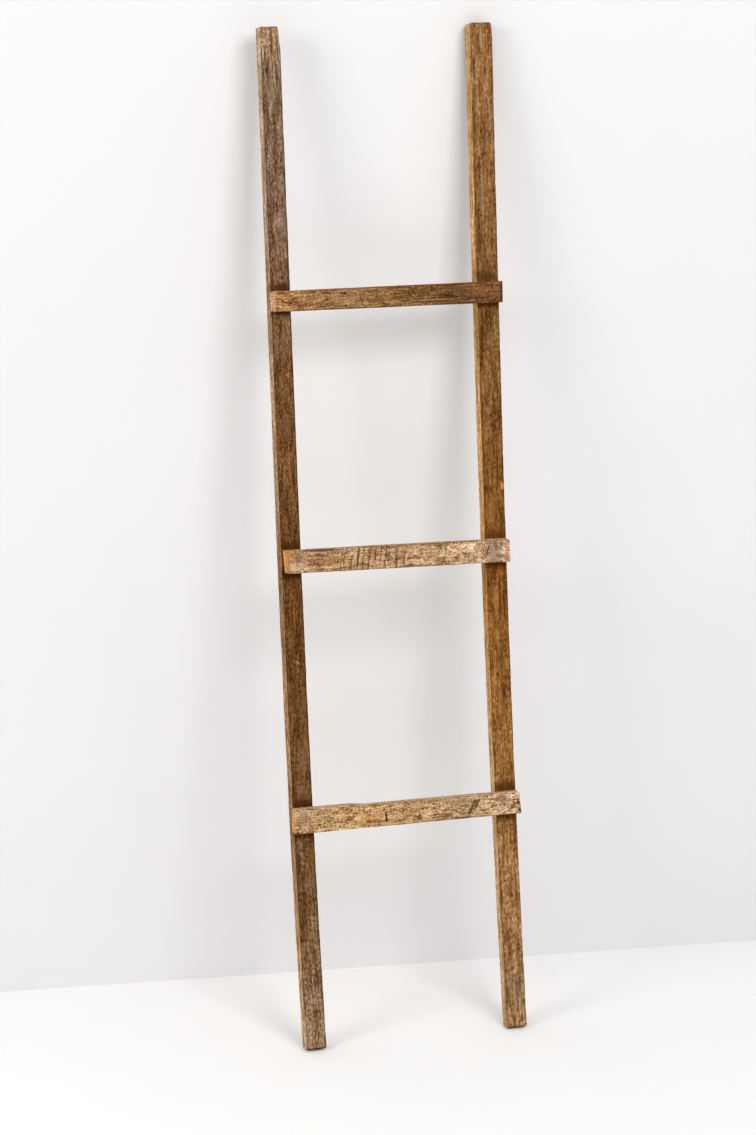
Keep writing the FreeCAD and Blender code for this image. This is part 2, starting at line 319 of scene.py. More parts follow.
class Effects:
    """Builds each shared shader group once and places it in the materials."""

    def __init__(self) -> None:
        """Builds all the groups."""
        self.trees = {
            Effect.GRAIN: self.grain(),
            Effect.FLECKS: self.flecks(),
            Effect.PATCH: self.patch(),
            Effect.KERFS: self.kerfs(),
        }

    def place(self, graph: Graph, effect: Effect, values: dict) -> Node:
        """Adds one effect to a material's tree.

        Args:
            graph: the material's graph.
            effect: which group.
            values: its inputs by name.

        Returns:
            The group node.
        """
        made = graph.node("ShaderNodeGroup", node_tree=self.trees[effect])
        for name, value in values.items():
            graph.put(made.inputs[name], value)
        return made

    def grain(self) -> Tree:
        """Weathered fibres: slow changes of tone, wandering streaks, a gritty nap and open pores."""
        inputs = {
            "Place": ("Vector", None),
            "Width": ("Float", 4.4),
            "Streak": ("Float", 34.0),
            "Nap": ("Float", 5.5),
            "Seed": ("Float", 0.0),
        }
        outputs = {"Broad": "Float", "Streaks": "Float", "Nap": "Float", "Pores": "Float"}
        graph, given, result = new_group(Effect.GRAIN.value, "ShaderNodeTree", inputs, outputs)
        seed, width = given.outputs["Seed"], given.outputs["Width"]
        shift = graph.combine(seed, graph.times(seed, 1.7), 0.0)
        across, depth, along = graph.split(given.outputs["Place"])
        slow = graph.combine(graph.over(across, SWAY_CELL[0]), seed, graph.over(along, SWAY_CELL[1]))
        sway = graph.times(graph.minus(graph.noise(slow, 1.0), 0.5), SWAY)
        swayed = graph.combine(graph.plus(across, sway), depth, along)

        def layer(cell: object, detail: float, roughness: float) -> Socket:
            """Noise in cells of a given size, centred on zero."""
            scaled = graph.vector("ADD", graph.vector("DIVIDE", swayed, cell), shift)
            return graph.minus(graph.noise(scaled, detail, roughness), 0.5)

        long_cell = graph.combine(width, width, given.outputs["Streak"])
        short_cell = graph.combine(width, width, given.outputs["Nap"])
        graph.put(result.inputs["Broad"], layer(BROAD_CELL, 3.0, 0.55))
        graph.put(result.inputs["Streaks"], layer(long_cell, 4.0, 0.65))
        graph.put(result.inputs["Nap"], layer(short_cell, 4.0, 0.7))
        graph.put(result.inputs["Pores"], graph.spread(layer(PORE_CELL, 1.0, 0.5), *PORE_EDGE))
        return graph.tree

    def flecks(self) -> Tree:
        """Small light and dark flecks of weathered fibre and dirt."""
        inputs = {
            "Place": ("Vector", None),
            "Size": ("Float", 3.0),
            "Stretch": ("Float", 1.8),
            "Seed": ("Float", 0.0),
        }
        outputs = {"Light": "Float", "Dark": "Float"}
        graph, given, result = new_group(Effect.FLECKS.value, "ShaderNodeTree", inputs, outputs)
        size = given.outputs["Size"]
        cell = graph.combine(size, size, graph.times(size, given.outputs["Stretch"]))
        scaled = graph.vector("DIVIDE", given.outputs["Place"], cell)
        seed = given.outputs["Seed"]
        first = graph.noise(graph.vector("ADD", scaled, graph.combine(seed, 3.0, seed)), 3.0, 0.6)
        second = graph.noise(graph.vector("ADD", scaled, graph.combine(11.0, seed, 7.0)), 3.0, 0.6)
        graph.put(result.inputs["Light"], graph.spread(first, *FLECK_EDGE))
        graph.put(result.inputs["Dark"], graph.spread(second, *FLECK_EDGE))
        return graph.tree

    def patch(self) -> Tree:
        """A ragged stain, knot, worn spot or painted shade at a given place."""
        inputs = {
            "Place": ("Vector", None),
            "Rough": ("Float", 0.0),
            "Centre": ("Vector", (0.0, 0.0, 0.0)),
            "Reach": ("Vector", (5.0, 5.0, 5.0)),
            "Slant": ("Float", 0.0),
            "Ragged": ("Float", 0.4),
            "Soft": ("Float", 0.5),
        }
        graph, given, result = new_group(Effect.PATCH.value, "ShaderNodeTree", inputs, {"Mask": "Float"})
        offset = graph.vector("SUBTRACT", given.outputs["Place"], given.outputs["Centre"])
        across, depth, along = graph.split(offset)
        along = graph.minus(along, graph.times(across, given.outputs["Slant"]))
        offset = graph.vector("DIVIDE", graph.combine(across, depth, along), given.outputs["Reach"])
        distance = graph.vector("LENGTH", offset, (0.0, 0.0, 0.0))
        edge = graph.plus(distance, graph.times(given.outputs["Rough"], given.outputs["Ragged"]))
        inner = graph.minus(1.0, given.outputs["Soft"])
        graph.put(result.inputs["Mask"], graph.spread(edge, 1.0, inner))
        return graph.tree

    def kerfs(self) -> Tree:
        """Saw marks across a face, as a mask."""
        inputs = {
            "Place": ("Vector", None),
            "Pitch": ("Float", 8.0),
            "Slant": ("Float", -0.2),
            "Seed": ("Float", 0.0),
        }
        graph, given, result = new_group(Effect.KERFS.value, "ShaderNodeTree", inputs, {"Mask": "Float"})
        lines = kerf_lines(graph, *(given.outputs[name] for name in inputs))
        graph.put(result.inputs["Mask"], lines)
        return graph.tree


# ---------------------------------------------------------------- finishes

ARRIS_REACH = 6.0               # mm from an arris at which the arris attribute reaches 0
RAGGED_CELL = (2.6, 2.6, 5.0)
SPECK_EDGE = (0.02, 0.1)
TINT = (0.76, 1.0, 1.4)         # how strongly a change of tone acts on red, green and blue
PORE_SHARE = 0.55
WORN_EDGE = (0.7, 1.0)
LINE_EDGE = (0.08, 0.12)        # softness of an edge line, inside and outside its width
LINE_FADE = 12.0                # mm over which an edge line starts and stops
HALVES = (2.0, -2.0)            # mm about the centre line where one edge's lines give way
THROUGH = 90.0                  # reach that takes a patch right through a batten
MATT = (0.72, 0.9)              # least and greatest roughness of the timber
MATT_SHEEN = 0.06
BUMP_STRENGTH = 0.8
BUMP_DEPTH = 1.2                # mm


class Face(Enum):
    """Faces of a batten: low and high are its sides towards the low and high end of across."""

    FRONT = "front"
    LOW = "low"
    HIGH = "high"
    END = "end"
    BACK = "back"


@dataclass(frozen=True)
class Patch:
    """A stain, knot, worn spot, streak or painted shade on one face, with sizes in millimetres.

    Grit from 0 to 1 breaks the patch up into specks; the slant is its lean along per unit across.
    """

    along: float
    across: float
    reach_along: float
    reach_across: float
    colour: str
    strength: float = 0.8
    grit: float = 0.0
    slant: float = 0.0
    ragged: float = 1.4
    soft: float = 0.6
    face: Face = Face.FRONT


@dataclass(frozen=True)
class EdgeLine:
    """A tinted line on the front, along its low or high edge, with sizes in millimetres."""

    side: Face
    colour: str
    width: float
    strength: float
    start: float = -10.0
    stop: float = 5000.0


@dataclass(frozen=True)
class Kerfs:
    """Saw marks on a stretch of the front, which fade in and out, with sizes in millimetres."""

    start: float
    stop: float
    pitch: float
    slant: float
    strength: float
    fade: float = 30.0


@dataclass(frozen=True)
class TimberFinish:
    """Bare old timber: tones along each face, grain, flecks, saw marks and placed marks."""

    name: str
    front: tuple
    low: tuple
    high: tuple
    back: tuple
    low_end: str
    high_end: str
    dark: str
    light: str
    arris: str
    seed: float
    width: float = 4.4
    streak: float = 34.0
    nap: float = 5.5
    broad_tone: float = 3.0
    streak_tone: float = 4.2
    nap_tone: float = 5.0
    fleck_size: float = 3.4
    fleck_stretch: float = 1.8
    fleck_light: float = 0.2
    fleck_dark: float = 0.3
    dark_gain: float = 1.3
    light_gain: float = 0.8
    side_calm: float = 0.5
    arris_share: float = 0.2
    lines: tuple[EdgeLine, ...] = ()
    kerfs: tuple[Kerfs, ...] = ()
    patches: tuple[Patch, ...] = ()

    def material(self, effects: Effects, length: float) -> Material:
        """Builds the shader.

        Args:
            effects: the shared groups.
            length: the batten's length in millimetres.

        Returns:
            The material.
        """
        made, graph = new_material(self.name)
        place = graph.node("ShaderNodeAttribute", attribute_name="grain").outputs["Vector"]
        sides = graph.split(graph.node("ShaderNodeAttribute", attribute_name="faces").outputs["Vector"])
        edges = graph.split(graph.node("ShaderNodeAttribute", attribute_name="edges").outputs["Vector"])
        masks = dict(zip((Face.FRONT, Face.LOW, Face.HIGH), sides))
        arris, masks[Face.END], masks[Face.BACK] = edges
        across, _, along = graph.split(place)
        share = graph.over(along, length)
        colour = self.base_tones(graph, share, masks)
        grain = effects.place(graph, Effect.GRAIN, {
            "Place": place, "Width": self.width, "Streak": self.streak, "Nap": self.nap, "Seed": self.seed,
        })
        flecks = effects.place(graph, Effect.FLECKS, {
            "Place": place, "Size": self.fleck_size, "Stretch": self.fleck_stretch, "Seed": self.seed,
        })
        ragged = graph.noise(graph.vector("DIVIDE", place, RAGGED_CELL), 3.0, 0.65)
        ragged = graph.minus(ragged, 0.5)
        either_side = graph.plus(masks[Face.LOW], masks[Face.HIGH])
        calm = graph.minus(1.0, graph.times(either_side, self.side_calm))
        colour, relief = self.weather(graph, colour, grain, flecks, calm)
        colour = self.edge_lines(graph, colour, across, along, arris, ragged, masks)
        for kerfs in self.kerfs:
            lines = effects.place(graph, Effect.KERFS, {
                "Place": place, "Pitch": kerfs.pitch, "Slant": kerfs.slant, "Seed": self.seed,
            }).outputs["Mask"]
            zone = graph.times(
                graph.spread(along, kerfs.start, kerfs.start + kerfs.fade),
                graph.spread(along, kerfs.stop, kerfs.stop - kerfs.fade),
            )
            lines = graph.times(lines, zone, masks[Face.FRONT])
            colour = graph.mix(graph.times(lines, kerfs.strength), colour, srgb(self.dark))
            relief = graph.minus(relief, graph.times(lines, 0.3))
        specks = graph.spread(grain.outputs["Nap"], *SPECK_EDGE)
        for patch in self.patches:
            mask = self.patch_mask(graph, effects, place, ragged, masks, patch)
            broken = graph.plus(graph.times(specks, patch.grit), 1.0 - patch.grit)
            colour = graph.mix(graph.times(mask, broken), colour, srgb(patch.colour))
        self.surface(graph, colour, relief, grain.outputs["Nap"])
        return made

    def base_tones(self, graph: Graph, share: object, masks: dict) -> Socket:
        """Tone of each face along the batten, blended round the arrises."""
        colour = graph.tones(share, self.front)
        for face, stops in ((Face.BACK, self.back), (Face.LOW, self.low), (Face.HIGH, self.high)):
            colour = graph.mix(masks[face], colour, graph.tones(share, stops))
        stops = ((0.0, self.low_end), (0.45, self.low_end), (0.55, self.high_end), (1.0, self.high_end))
        return graph.mix(masks[Face.END], colour, graph.tones(share, stops))

    def weather(self, graph: Graph, colour: object, grain: Node, flecks: Node, calm: object) -> tuple:
        """Grain, flecks and pores over the base tone.

        Args:
            graph: the material's graph.
            colour: the base tone.
            grain: the placed grain group.
            flecks: the placed fleck group.
            calm: share of the grain's contrast that is kept.

        Returns:
            The colour and the height for the bump.
        """
        broad, streaks, nap, pores = (grain.outputs[name] for name in ("Broad", "Streaks", "Nap", "Pores"))
        tone = graph.plus(
            graph.times(broad, self.broad_tone),
            graph.times(streaks, self.streak_tone),
            graph.times(nap, self.nap_tone),
        )
        dark_side = graph.times(graph.math("MINIMUM", tone, 0.0), self.dark_gain)
        light_side = graph.times(graph.math("MAXIMUM", tone, 0.0), self.light_gain)
        tone = graph.times(graph.plus(dark_side, light_side), calm)
        factors = [graph.math("POWER", 2.0, graph.times(tone, rate)) for rate in TINT]
        colour = graph.vector("MULTIPLY", colour, graph.combine(*factors))
        light = graph.times(flecks.outputs["Light"], self.fleck_light)
        colour = graph.mix(light, colour, srgb(self.light))
        dark = graph.times(flecks.outputs["Dark"], self.fleck_dark)
        colour = graph.mix(dark, colour, srgb(self.dark))
        colour = graph.mix(graph.times(pores, PORE_SHARE), colour, srgb(self.dark))
        height = graph.plus(nap, graph.times(streaks, 0.8))
        height = graph.minus(height, graph.times(flecks.outputs["Dark"], 0.2))
        height = graph.minus(height, graph.times(pores, 0.3))
        return colour, height

    def edge_lines(self, graph: Graph, colour: object, across: object, along: object, arris: object,
                   ragged: object, masks: dict) -> Socket:
        """Worn arrises all round, and the tinted lines along the front's edges.

        Args:
            graph: the material's graph.
            colour: the colour so far.
            across: distance from the centre line.
            along: distance from the low end.
            arris: nearness to an arris, 1 on it and 0 at 6 mm.
            ragged: noise about zero that breaks the lines up.
            masks: how far each face is seen.

        Returns:
            The colour.
        """
        edge = graph.plus(arris, graph.times(ragged, 0.7))
        worn = graph.times(graph.spread(edge, *WORN_EDGE), self.arris_share)
        colour = graph.mix(worn, colour, srgb(self.arris))
        for line in self.lines:
            near = 1.0 - line.width / ARRIS_REACH
            mask = graph.spread(edge, near - LINE_EDGE[0], near + LINE_EDGE[1])
            side = graph.spread(across, *(HALVES if line.side is Face.LOW else reversed(HALVES)))
            ends = graph.times(
                graph.spread(along, line.start, line.start + LINE_FADE),
                graph.spread(along, line.stop, line.stop - LINE_FADE),
            )
            mask = graph.times(mask, side, masks[Face.FRONT], ends, line.strength)
            colour = graph.mix(mask, colour, srgb(line.colour))
        return colour

    def patch_mask(self, graph: Graph, effects: Effects, place: object, ragged: object, masks: dict,
                   patch: Patch) -> Socket:
        """Mask of one placed mark; on a side, its across is the depth from the front."""
        centre = [patch.across, 0.0, patch.along]
        reach = [patch.reach_across, THROUGH, patch.reach_along]
        if patch.face in (Face.LOW, Face.HIGH):
            for values in (centre, reach):
                values[0], values[1] = values[1], values[0]
        mask = effects.place(graph, Effect.PATCH, {
            "Place": place, "Rough": ragged, "Centre": centre, "Reach": reach, "Slant": patch.slant,
            "Ragged": patch.ragged, "Soft": patch.soft,
        }).outputs["Mask"]
        return graph.times(mask, patch.strength, masks[patch.face])

    def surface(self, graph: Graph, colour: object, height: object, nap: object) -> None:
        """Dry, matt timber: the shader, its roughness and its bump."""
        bump = graph.node("ShaderNodeBump", {
            "Strength": BUMP_STRENGTH, "Distance": BUMP_DEPTH * MM, "Height": height,
        })
        shader = graph.node("ShaderNodeBsdfPrincipled", {
            "Base Color": colour,
            "Roughness": graph.spread(nap, -0.2, 0.2, *MATT),
            "Specular IOR Level": MATT_SHEEN,
            "Normal": bump.outputs[0],
        })
        graph.node("ShaderNodeOutputMaterial", {"Surface": shader.outputs[0]})


@dataclass(frozen=True)
class PlatedSteel:
    """Yellow-passivated zinc of the screws, dulled by handling."""

    name: str = "screw_steel"
    bright: str = "#C9B878"
    dull: str = "#8F7A4C"

    def material(self) -> Material:
        """Builds the shader, mottled on the screws' own coordinates."""
        made, graph = new_material(self.name)
        place = graph.node("ShaderNodeTexCoord").outputs["Object"]
        mottle = graph.noise(graph.vector("SCALE", place, 700.0), 3.0, 0.6)
        share = graph.spread(mottle, 0.35, 0.65)
        bump = graph.node("ShaderNodeBump", {"Strength": 0.3, "Distance": 0.05 * MM, "Height": mottle})
        shader = graph.node("ShaderNodeBsdfPrincipled", {
            "Base Color": graph.mix(share, srgb(self.dull), srgb(self.bright)),
            "Metallic": 1.0,
            "Roughness": graph.spread(mottle, 0.3, 0.7, 0.28, 0.5),
            "Normal": bump.outputs[0],
        })
        graph.node("ShaderNodeOutputMaterial", {"Surface": shader.outputs[0]})
        return made


# ---------------------------------------------------------------- measuring the frame


@dataclass(frozen=True)
class Stance:
    """How the ladder leans, and the change between its own axes and the room's.

    The ladder's own axes are x across it, y from its front to its back and z up the rails.
    """

    lean: float

    @classmethod
    def from_record(cls) -> "Stance":
        """Reads the lean from the direction in which the left foot's end grain faces."""
        mounts = {mount["name"]: mount for mount in frame["record"]["mounts"]}
        _, back, up = mounts["left_foot"]["axis"]
        return cls(math.atan2(-back, -up))

    def axes(self) -> np.ndarray:
        """The ladder's own axes as the columns of a matrix."""
        cos, sin = math.cos(self.lean), math.sin(self.lean)
        return np.array([[1.0, 0.0, 0.0], [0.0, cos, sin], [0.0, -sin, cos]])

    def to_own(self, points: np.ndarray) -> np.ndarray:
        """Changes room coordinates into the ladder's own."""
        return points @ self.axes()

    def to_room(self, points: np.ndarray) -> np.ndarray:
        """Changes the ladder's own coordinates into the room's."""
        return points @ self.axes().T


class Solid:
    """A node of the frame, measured in the ladder's own axes."""

    def __init__(self, node: str, stance: Stance) -> None:
        """Reads the node's mesh.

        Args:
            node: its name in the frame.
            stance: the ladder's lean.
        """
        mesh = frame["nodes"][node].data
        flat = np.empty(len(mesh.vertices) * 3)
        mesh.vertices.foreach_get("co", flat)
        self.points = stance.to_own(flat.reshape(-1, 3))
        faces = [tuple(face.vertices) for face in mesh.polygons]
        self.tree = BVHTree.FromPolygons(self.points.tolist(), faces)
        self.low = self.points.min(axis=0)
        self.high = self.points.max(axis=0)

    def surface(self, axis: int, side: int, through: np.ndarray) -> float:
        """Where a straight probe meets the solid.

        Args:
            axis: 0, 1 or 2, the direction in which the probe moves.
            side: -1 to come from the low side and 1 from the high side.
            through: a point on the probe's line.

        Returns:
            The coordinate along the axis, or the solid's limit where the probe misses.
        """
        limit = self.high if side > 0 else self.low
        start = np.array(through, dtype=float)
        start[axis] = limit[axis] + side * 0.01
        heading = [0.0, 0.0, 0.0]
        heading[axis] = -float(side)
        hit = self.tree.ray_cast(Vector(start), Vector(heading))[0]
        return float(limit[axis]) if hit is None else hit[axis]


# ---------------------------------------------------------------- battens

PROBE_INSET = 30.0              # mm from an end at which its width is probed
PROBE_SPAN = (0.04, 0.96)       # share of the width over which an end face is probed
PROBE_COUNT = 15
EDGE_INSET = 2.0                # mm from an edge at which the ends are read for that edge
END_SHARE = 0.015               # share of the length kept clear of the ends by the first probe
END_GAP = 0.05                  # mm kept clear of the ends by every probe
FIRST_GAP = 0.6                 # mm between the first rings; the gaps then grow by a factor
GAP_GROWTH = 1.25
RAIL_PLAN = (40.0, 27.0)        # width and depth by which a rail's points are counted, in mm
RUNG_PLAN_DEPTH = 19.0
CAP_RINGS = (0.78, 0.55, 0.32, 0.12)
CORNER_SHARE = 0.45             # greatest arris radius, as a share of half the section


class Run(Enum):
    """Which way a batten runs: the ladder's axes that are its across, depth and along."""

    UPRIGHT = (0, 1, 2)
    LEVEL = (2, 1, 0)


@dataclass(frozen=True)
class Relief:
    """Depth of the wear on a batten's surface, in millimetres."""

    undulation: float = 0.6
    fibre: float = 0.14
    chips: float = 0.8
    kerfs: float = 0.0
    kerf_pitch: float = 8.0
    kerf_slant: float = -0.2


@dataclass
class Batten:
    """A weathered batten that follows its solid in the frame, with rounded and worn arrises."""

    node: str
    run: Run
    finish: TimberFinish
    relief: Relief
    pitch_along: float
    pitch_round: float
    arris_radius: float = 1.5
    end_radius: float = 1.0
    arc_steps: int = 4

    def measure(self, stance: Stance) -> None:
        """Finds the batten's limits in the frame and the outline of its two ends."""
        self.stance = stance
        self.solid = Solid(self.node, stance)
        self.axes = self.run.value
        across = self.axes[0]
        self.middle = (self.solid.low + self.solid.high) / 2.0
        self.ends = [self.end_profile(side) for side in (-1, 1)]
        self.length = self.end_at(1, self.middle[across]) - self.end_at(0, self.middle[across])

    def end_profile(self, side: int) -> tuple[np.ndarray, np.ndarray]:
        """Probes one end face.

        Args:
            side: -1 for the low end and 1 for the high end.

        Returns:
            Places across the batten, and how far along the end face lies at each.
        """
        across, _, along = self.axes
        through = self.middle.copy()
        through[along] = (self.solid.high if side > 0 else self.solid.low)[along] - side * PROBE_INSET * MM
        low, high = (self.solid.surface(across, way, through) for way in (-1, 1))
        places = low + (high - low) * np.linspace(*PROBE_SPAN, PROBE_COUNT)
        faces = []
        for place in places:
            through[across] = place
            faces.append(self.solid.surface(along, side, through))
        return places, np.array(faces)

    def end_at(self, end: int, across_value: object) -> object:
        """Where an end face lies for one or more places across the batten."""
        return np.interp(across_value, *self.ends[end])

    def courses(self) -> list[tuple[float, float]]:
        """Distances along the batten and how far each ring is drawn in at the rounded ends."""
        radius = self.end_radius * MM
        rounding = []
        for step in range(self.arc_steps + 1):
            angle = math.pi / 2.0 * step / self.arc_steps
            rounding.append((radius * (1.0 - math.cos(angle)), radius * (1.0 - math.sin(angle))))
        places, gap = [radius], FIRST_GAP * MM
        while places[-1] + gap < self.length / 2.0:
            places.append(places[-1] + gap)
            gap = min(gap * GAP_GROWTH, self.pitch_along * MM)
        half = rounding[:-1] + [(place, 0.0) for place in places]
        return half + [(self.length - place, inset) for place, inset in reversed(half)]

    def ring_plan(self) -> list[tuple[float, float, float, float]]:
        """Points round the section: shares of width and depth, and the way each faces."""
        width, depth = (size * MM for size in RAIL_PLAN)
        if self.run is Run.LEVEL:
            width = (self.solid.high - self.solid.low)[self.axes[0]]
            depth = RUNG_PLAN_DEPTH * MM
        across_steps = max(4, round(width / (self.pitch_round * MM)))
        depth_steps = max(4, round(depth / (self.pitch_round * MM)))
        plan = []
        corners = ((0.0, 0.0, 180.0), (1.0, 0.0, 270.0), (1.0, 1.0, 0.0), (0.0, 1.0, 90.0))
        for index, (share_b, share_c, heading) in enumerate(corners):
            for step in range(self.arc_steps + 1):
                angle = math.radians(heading + 90.0 * step / self.arc_steps)
                plan.append((share_b, share_c, math.cos(angle), math.sin(angle)))
            next_b, next_c, _ = corners[(index + 1) % 4]
            steps = across_steps if share_c == next_c else depth_steps
            facing = math.radians(heading + 90.0)
            for step in range(1, steps):
                part = step / steps
                plan.append((share_b + (next_b - share_b) * part, share_c + (next_c - share_c) * part,
                             math.cos(facing), math.sin(facing)))
        return plan

    def extents(self, distance: float) -> tuple[float, float, float, float]:
        """Edges of the section at a distance along: low and high across, front and back."""
        across, depth, along = self.axes
        gap = END_GAP * MM
        share = min(max(distance, gap), self.length - gap) / self.length
        through = self.middle.copy()
        edges = []
        for side in (-1, 1):
            start, stop = self.end_at(0, self.middle[across]), self.end_at(1, self.middle[across])
            through[along] = start + (stop - start) * min(max(share, END_SHARE), 1.0 - END_SHARE)
            guess = self.solid.surface(across, side, through) - side * EDGE_INSET * MM
            start, stop = self.end_at(0, guess), self.end_at(1, guess)
            through[along] = start + (stop - start) * share
            edges.append(self.solid.surface(across, side, through))
        through[across] = (edges[0] + edges[1]) / 2.0
        front = self.solid.surface(depth, -1, through)
        back = self.solid.surface(depth, 1, through)
        return edges[0], edges[1], front, back

    def shape(self) -> tuple[np.ndarray, list, dict]:
        """Points, faces and attributes of the unworn batten.

        Returns:
            Points in the ladder's own axes, faces as vertex numbers, and attributes by name.
        """
        plan = np.array(self.ring_plan())
        count = len(plan)
        rows, grain, faces, edges = [], [], [], []
        radius = self.arris_radius * MM

        def add_row(distance: float, inset: float, scale: float, at_end: float) -> None:
            """Adds one ring of points, with the attributes that the finish and the wear read."""
            low, high, front, back = self.extents(distance)
            mid_b, mid_c = (low + high) / 2.0, (front + back) / 2.0
            half_b = (high - low) / 2.0 - inset
            half_c = (back - front) / 2.0 - inset
            corner = min(radius, half_b * CORNER_SHARE, half_c * CORNER_SHARE)
            across = (plan[:, 0] * 2.0 - 1.0) * (half_b - corner) + plan[:, 2] * corner
            depth = (plan[:, 1] * 2.0 - 1.0) * (half_c - corner) + plan[:, 3] * corner
            across, depth = across * scale, depth * scale
            share = distance / self.length
            start, stop = self.end_at(0, mid_b + across), self.end_at(1, mid_b + across)
            along = start + (stop - start) * share
            rows.append(np.stack([mid_b + across, mid_c + depth, along], axis=1))
            grain.append(np.stack([across, mid_c + depth - front, np.full(count, distance)], axis=1) / MM)
            facing_b, facing_c = plan[:, 2], plan[:, 3]
            front_mask, back_mask, low_mask, high_mask = (
                np.clip(facing, 0.0, 1.0) ** 2 * (1.0 - at_end)
                for facing in (-facing_c, facing_c, -facing_b, facing_b)
            )
            faces.append(np.stack([front_mask, low_mask, high_mask], axis=1))
            gap_b = np.abs(half_b * scale - np.abs(across)) + (1.0 - scale) * half_b
            gap_c = np.abs(half_c * scale - np.abs(depth)) + (1.0 - scale) * half_c
            to_end = min(distance, self.length - distance)
            first = np.sort(np.stack([gap_b, gap_c, np.full(count, to_end)]), axis=0)
            worn = np.clip(1.0 - first[1] / (ARRIS_REACH * MM), 0.0, 1.0)
            edges.append(np.stack([worn, np.full(count, at_end), back_mask], axis=1))

        rounding = self.end_radius * MM
        for scale in reversed(CAP_RINGS):
            add_row(0.0, rounding, scale, 1.0)
        for distance, inset in self.courses():
            add_row(distance, inset, 1.0, min(1.0, (inset / rounding) ** 2))
        for scale in CAP_RINGS:
            add_row(self.length, rounding, scale, 1.0)
        quads = []
        for row in range(len(rows) - 1):
            base = row * count
            for step in range(count):
                following = (step + 1) % count
                quads.append((base + step, base + following, base + count + following, base + count + step))
        points = np.concatenate(rows)
        tables = {
            name: np.concatenate(table)
            for name, table in (("grain", grain), ("faces", faces), ("edges", edges))
        }
        for row, flip in ((0, False), (len(rows) - 1, True)):
            pole = len(points)
            members = slice(row * count, (row + 1) * count)
            points = np.vstack([points, points[members].mean(axis=0)])
            tables = {
                name: np.vstack([table, table[members].mean(axis=0)]) for name, table in tables.items()
            }
            for step in range(count):
                pair = (row * count + step, row * count + (step + 1) % count)
                quads.append((pole, pair[0], pair[1]) if flip else (pole, pair[1], pair[0]))
        return points, quads, tables

    def plain_object(self) -> Object:
        """The unworn batten as an object in the room, with its attributes."""
        points, quads, tables = self.shape()
        own = np.empty_like(points)
        for column, axis in enumerate(self.axes):
            own[:, axis] = points[:, column]
        if self.run is Run.LEVEL:
            quads = [tuple(reversed(quad)) for quad in quads]
        piece = add_mesh(self.node + "_timber", self.stance.to_room(own).tolist(), quads)
        for name, table in tables.items():
            made = piece.data.attributes.new(name, "FLOAT_VECTOR", "POINT")
            made.data.foreach_set("vector", table.astype(np.float32).ravel())
        piece.data.update()
        return piece

    def build(self, stance: Stance, effects: Effects, wear: Tree, cutter: Object) -> Object:
        """Makes the finished piece.

        Args:
            stance: the ladder's lean.
            effects: the shared shader groups.
            wear: the geometry tree that wears the surface.
            cutter: the object whose shape is taken out of the batten.

        Returns:
            The piece, which stands for its node.
        """
        self.measure(stance)
        piece = self.plain_object()
        material = self.finish.material(effects, self.length / MM)
        relief = self.relief
        run_modifier(piece, wear, {
            "Undulation": relief.undulation * MM,
            "Fibre": relief.fibre * MM,
            "Chips": relief.chips * MM,
            "Kerfs": relief.kerfs * MM,
            "Kerf pitch": relief.kerf_pitch,
            "Kerf slant": relief.kerf_slant,
            "Seed": self.finish.seed,
            "Material": material,
        })
        cut = piece.modifiers.new("cut", "BOOLEAN")
        cut.operation = "DIFFERENCE"
        cut.solver = "MANIFOLD"
        cut.object = cutter
        bake_modifiers(piece)
        for face in piece.data.polygons:
            face.use_smooth = True
        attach(piece, BODY)
        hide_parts(self.node)
        return piece


def bake_modifiers(piece: Object) -> None:
    """Turns an object's modifiers into a plain mesh and removes them."""
    graph = bpy.context.evaluated_depsgraph_get()
    plain = bpy.data.meshes.new_from_object(piece.evaluated_get(graph), depsgraph=graph)
    piece.modifiers.clear()
    plain.name = piece.name
    piece.data = plain


def run_modifier(piece: Object, tree: Tree, values: dict) -> None:
    """Runs a geometry tree on an object and keeps the result as its plain mesh.

    Args:
        piece: the object.
        tree: the geometry tree.
        values: the tree's inputs by name.
    """
    modifier = piece.modifiers.new(tree.name, "NODES")
    modifier.node_group = tree
    sockets = {item.name: item.identifier for item in tree.interface.items_tree if item.in_out == "INPUT"}
    for name, value in values.items():
        modifier[sockets[name]] = value
    piece.update_tag()
    bake_modifiers(piece)


def dress(graph: Graph, given: Node, result: Node, last: Node) -> Tree:
    """Ends a geometry tree: real geometry that carries the given material.

    Args:
        graph: the tree's graph.
        given: its input node.
        result: its output node.
        last: the node that makes the shape.

    Returns:
        The finished tree.
    """
    real = graph.node("GeometryNodeRealizeInstances", {"Geometry": last.outputs[0]})
    dressed = graph.node("GeometryNodeSetMaterial", {
        "Geometry": real.outputs[0], "Material": given.outputs["Material"],
    })
    graph.put(result.inputs["Geometry"], dressed.outputs[0])
    return graph.tree


SWELL_CELL = (17.0, 17.0, 70.0)
SWELL_EDGE = (0.42, 0.75)
FIBRE_CELL = (2.4, 2.4, 34.0)
CHIP_CELL = (4.5, 4.5, 11.0)
CHIP_EDGE = (0.5, 0.72)
CHIP_NEAR = (0.25, 0.95)        # nearness to an arris from which chips are found
BACK_CALM = 0.75                # share of the wear that the back is spared


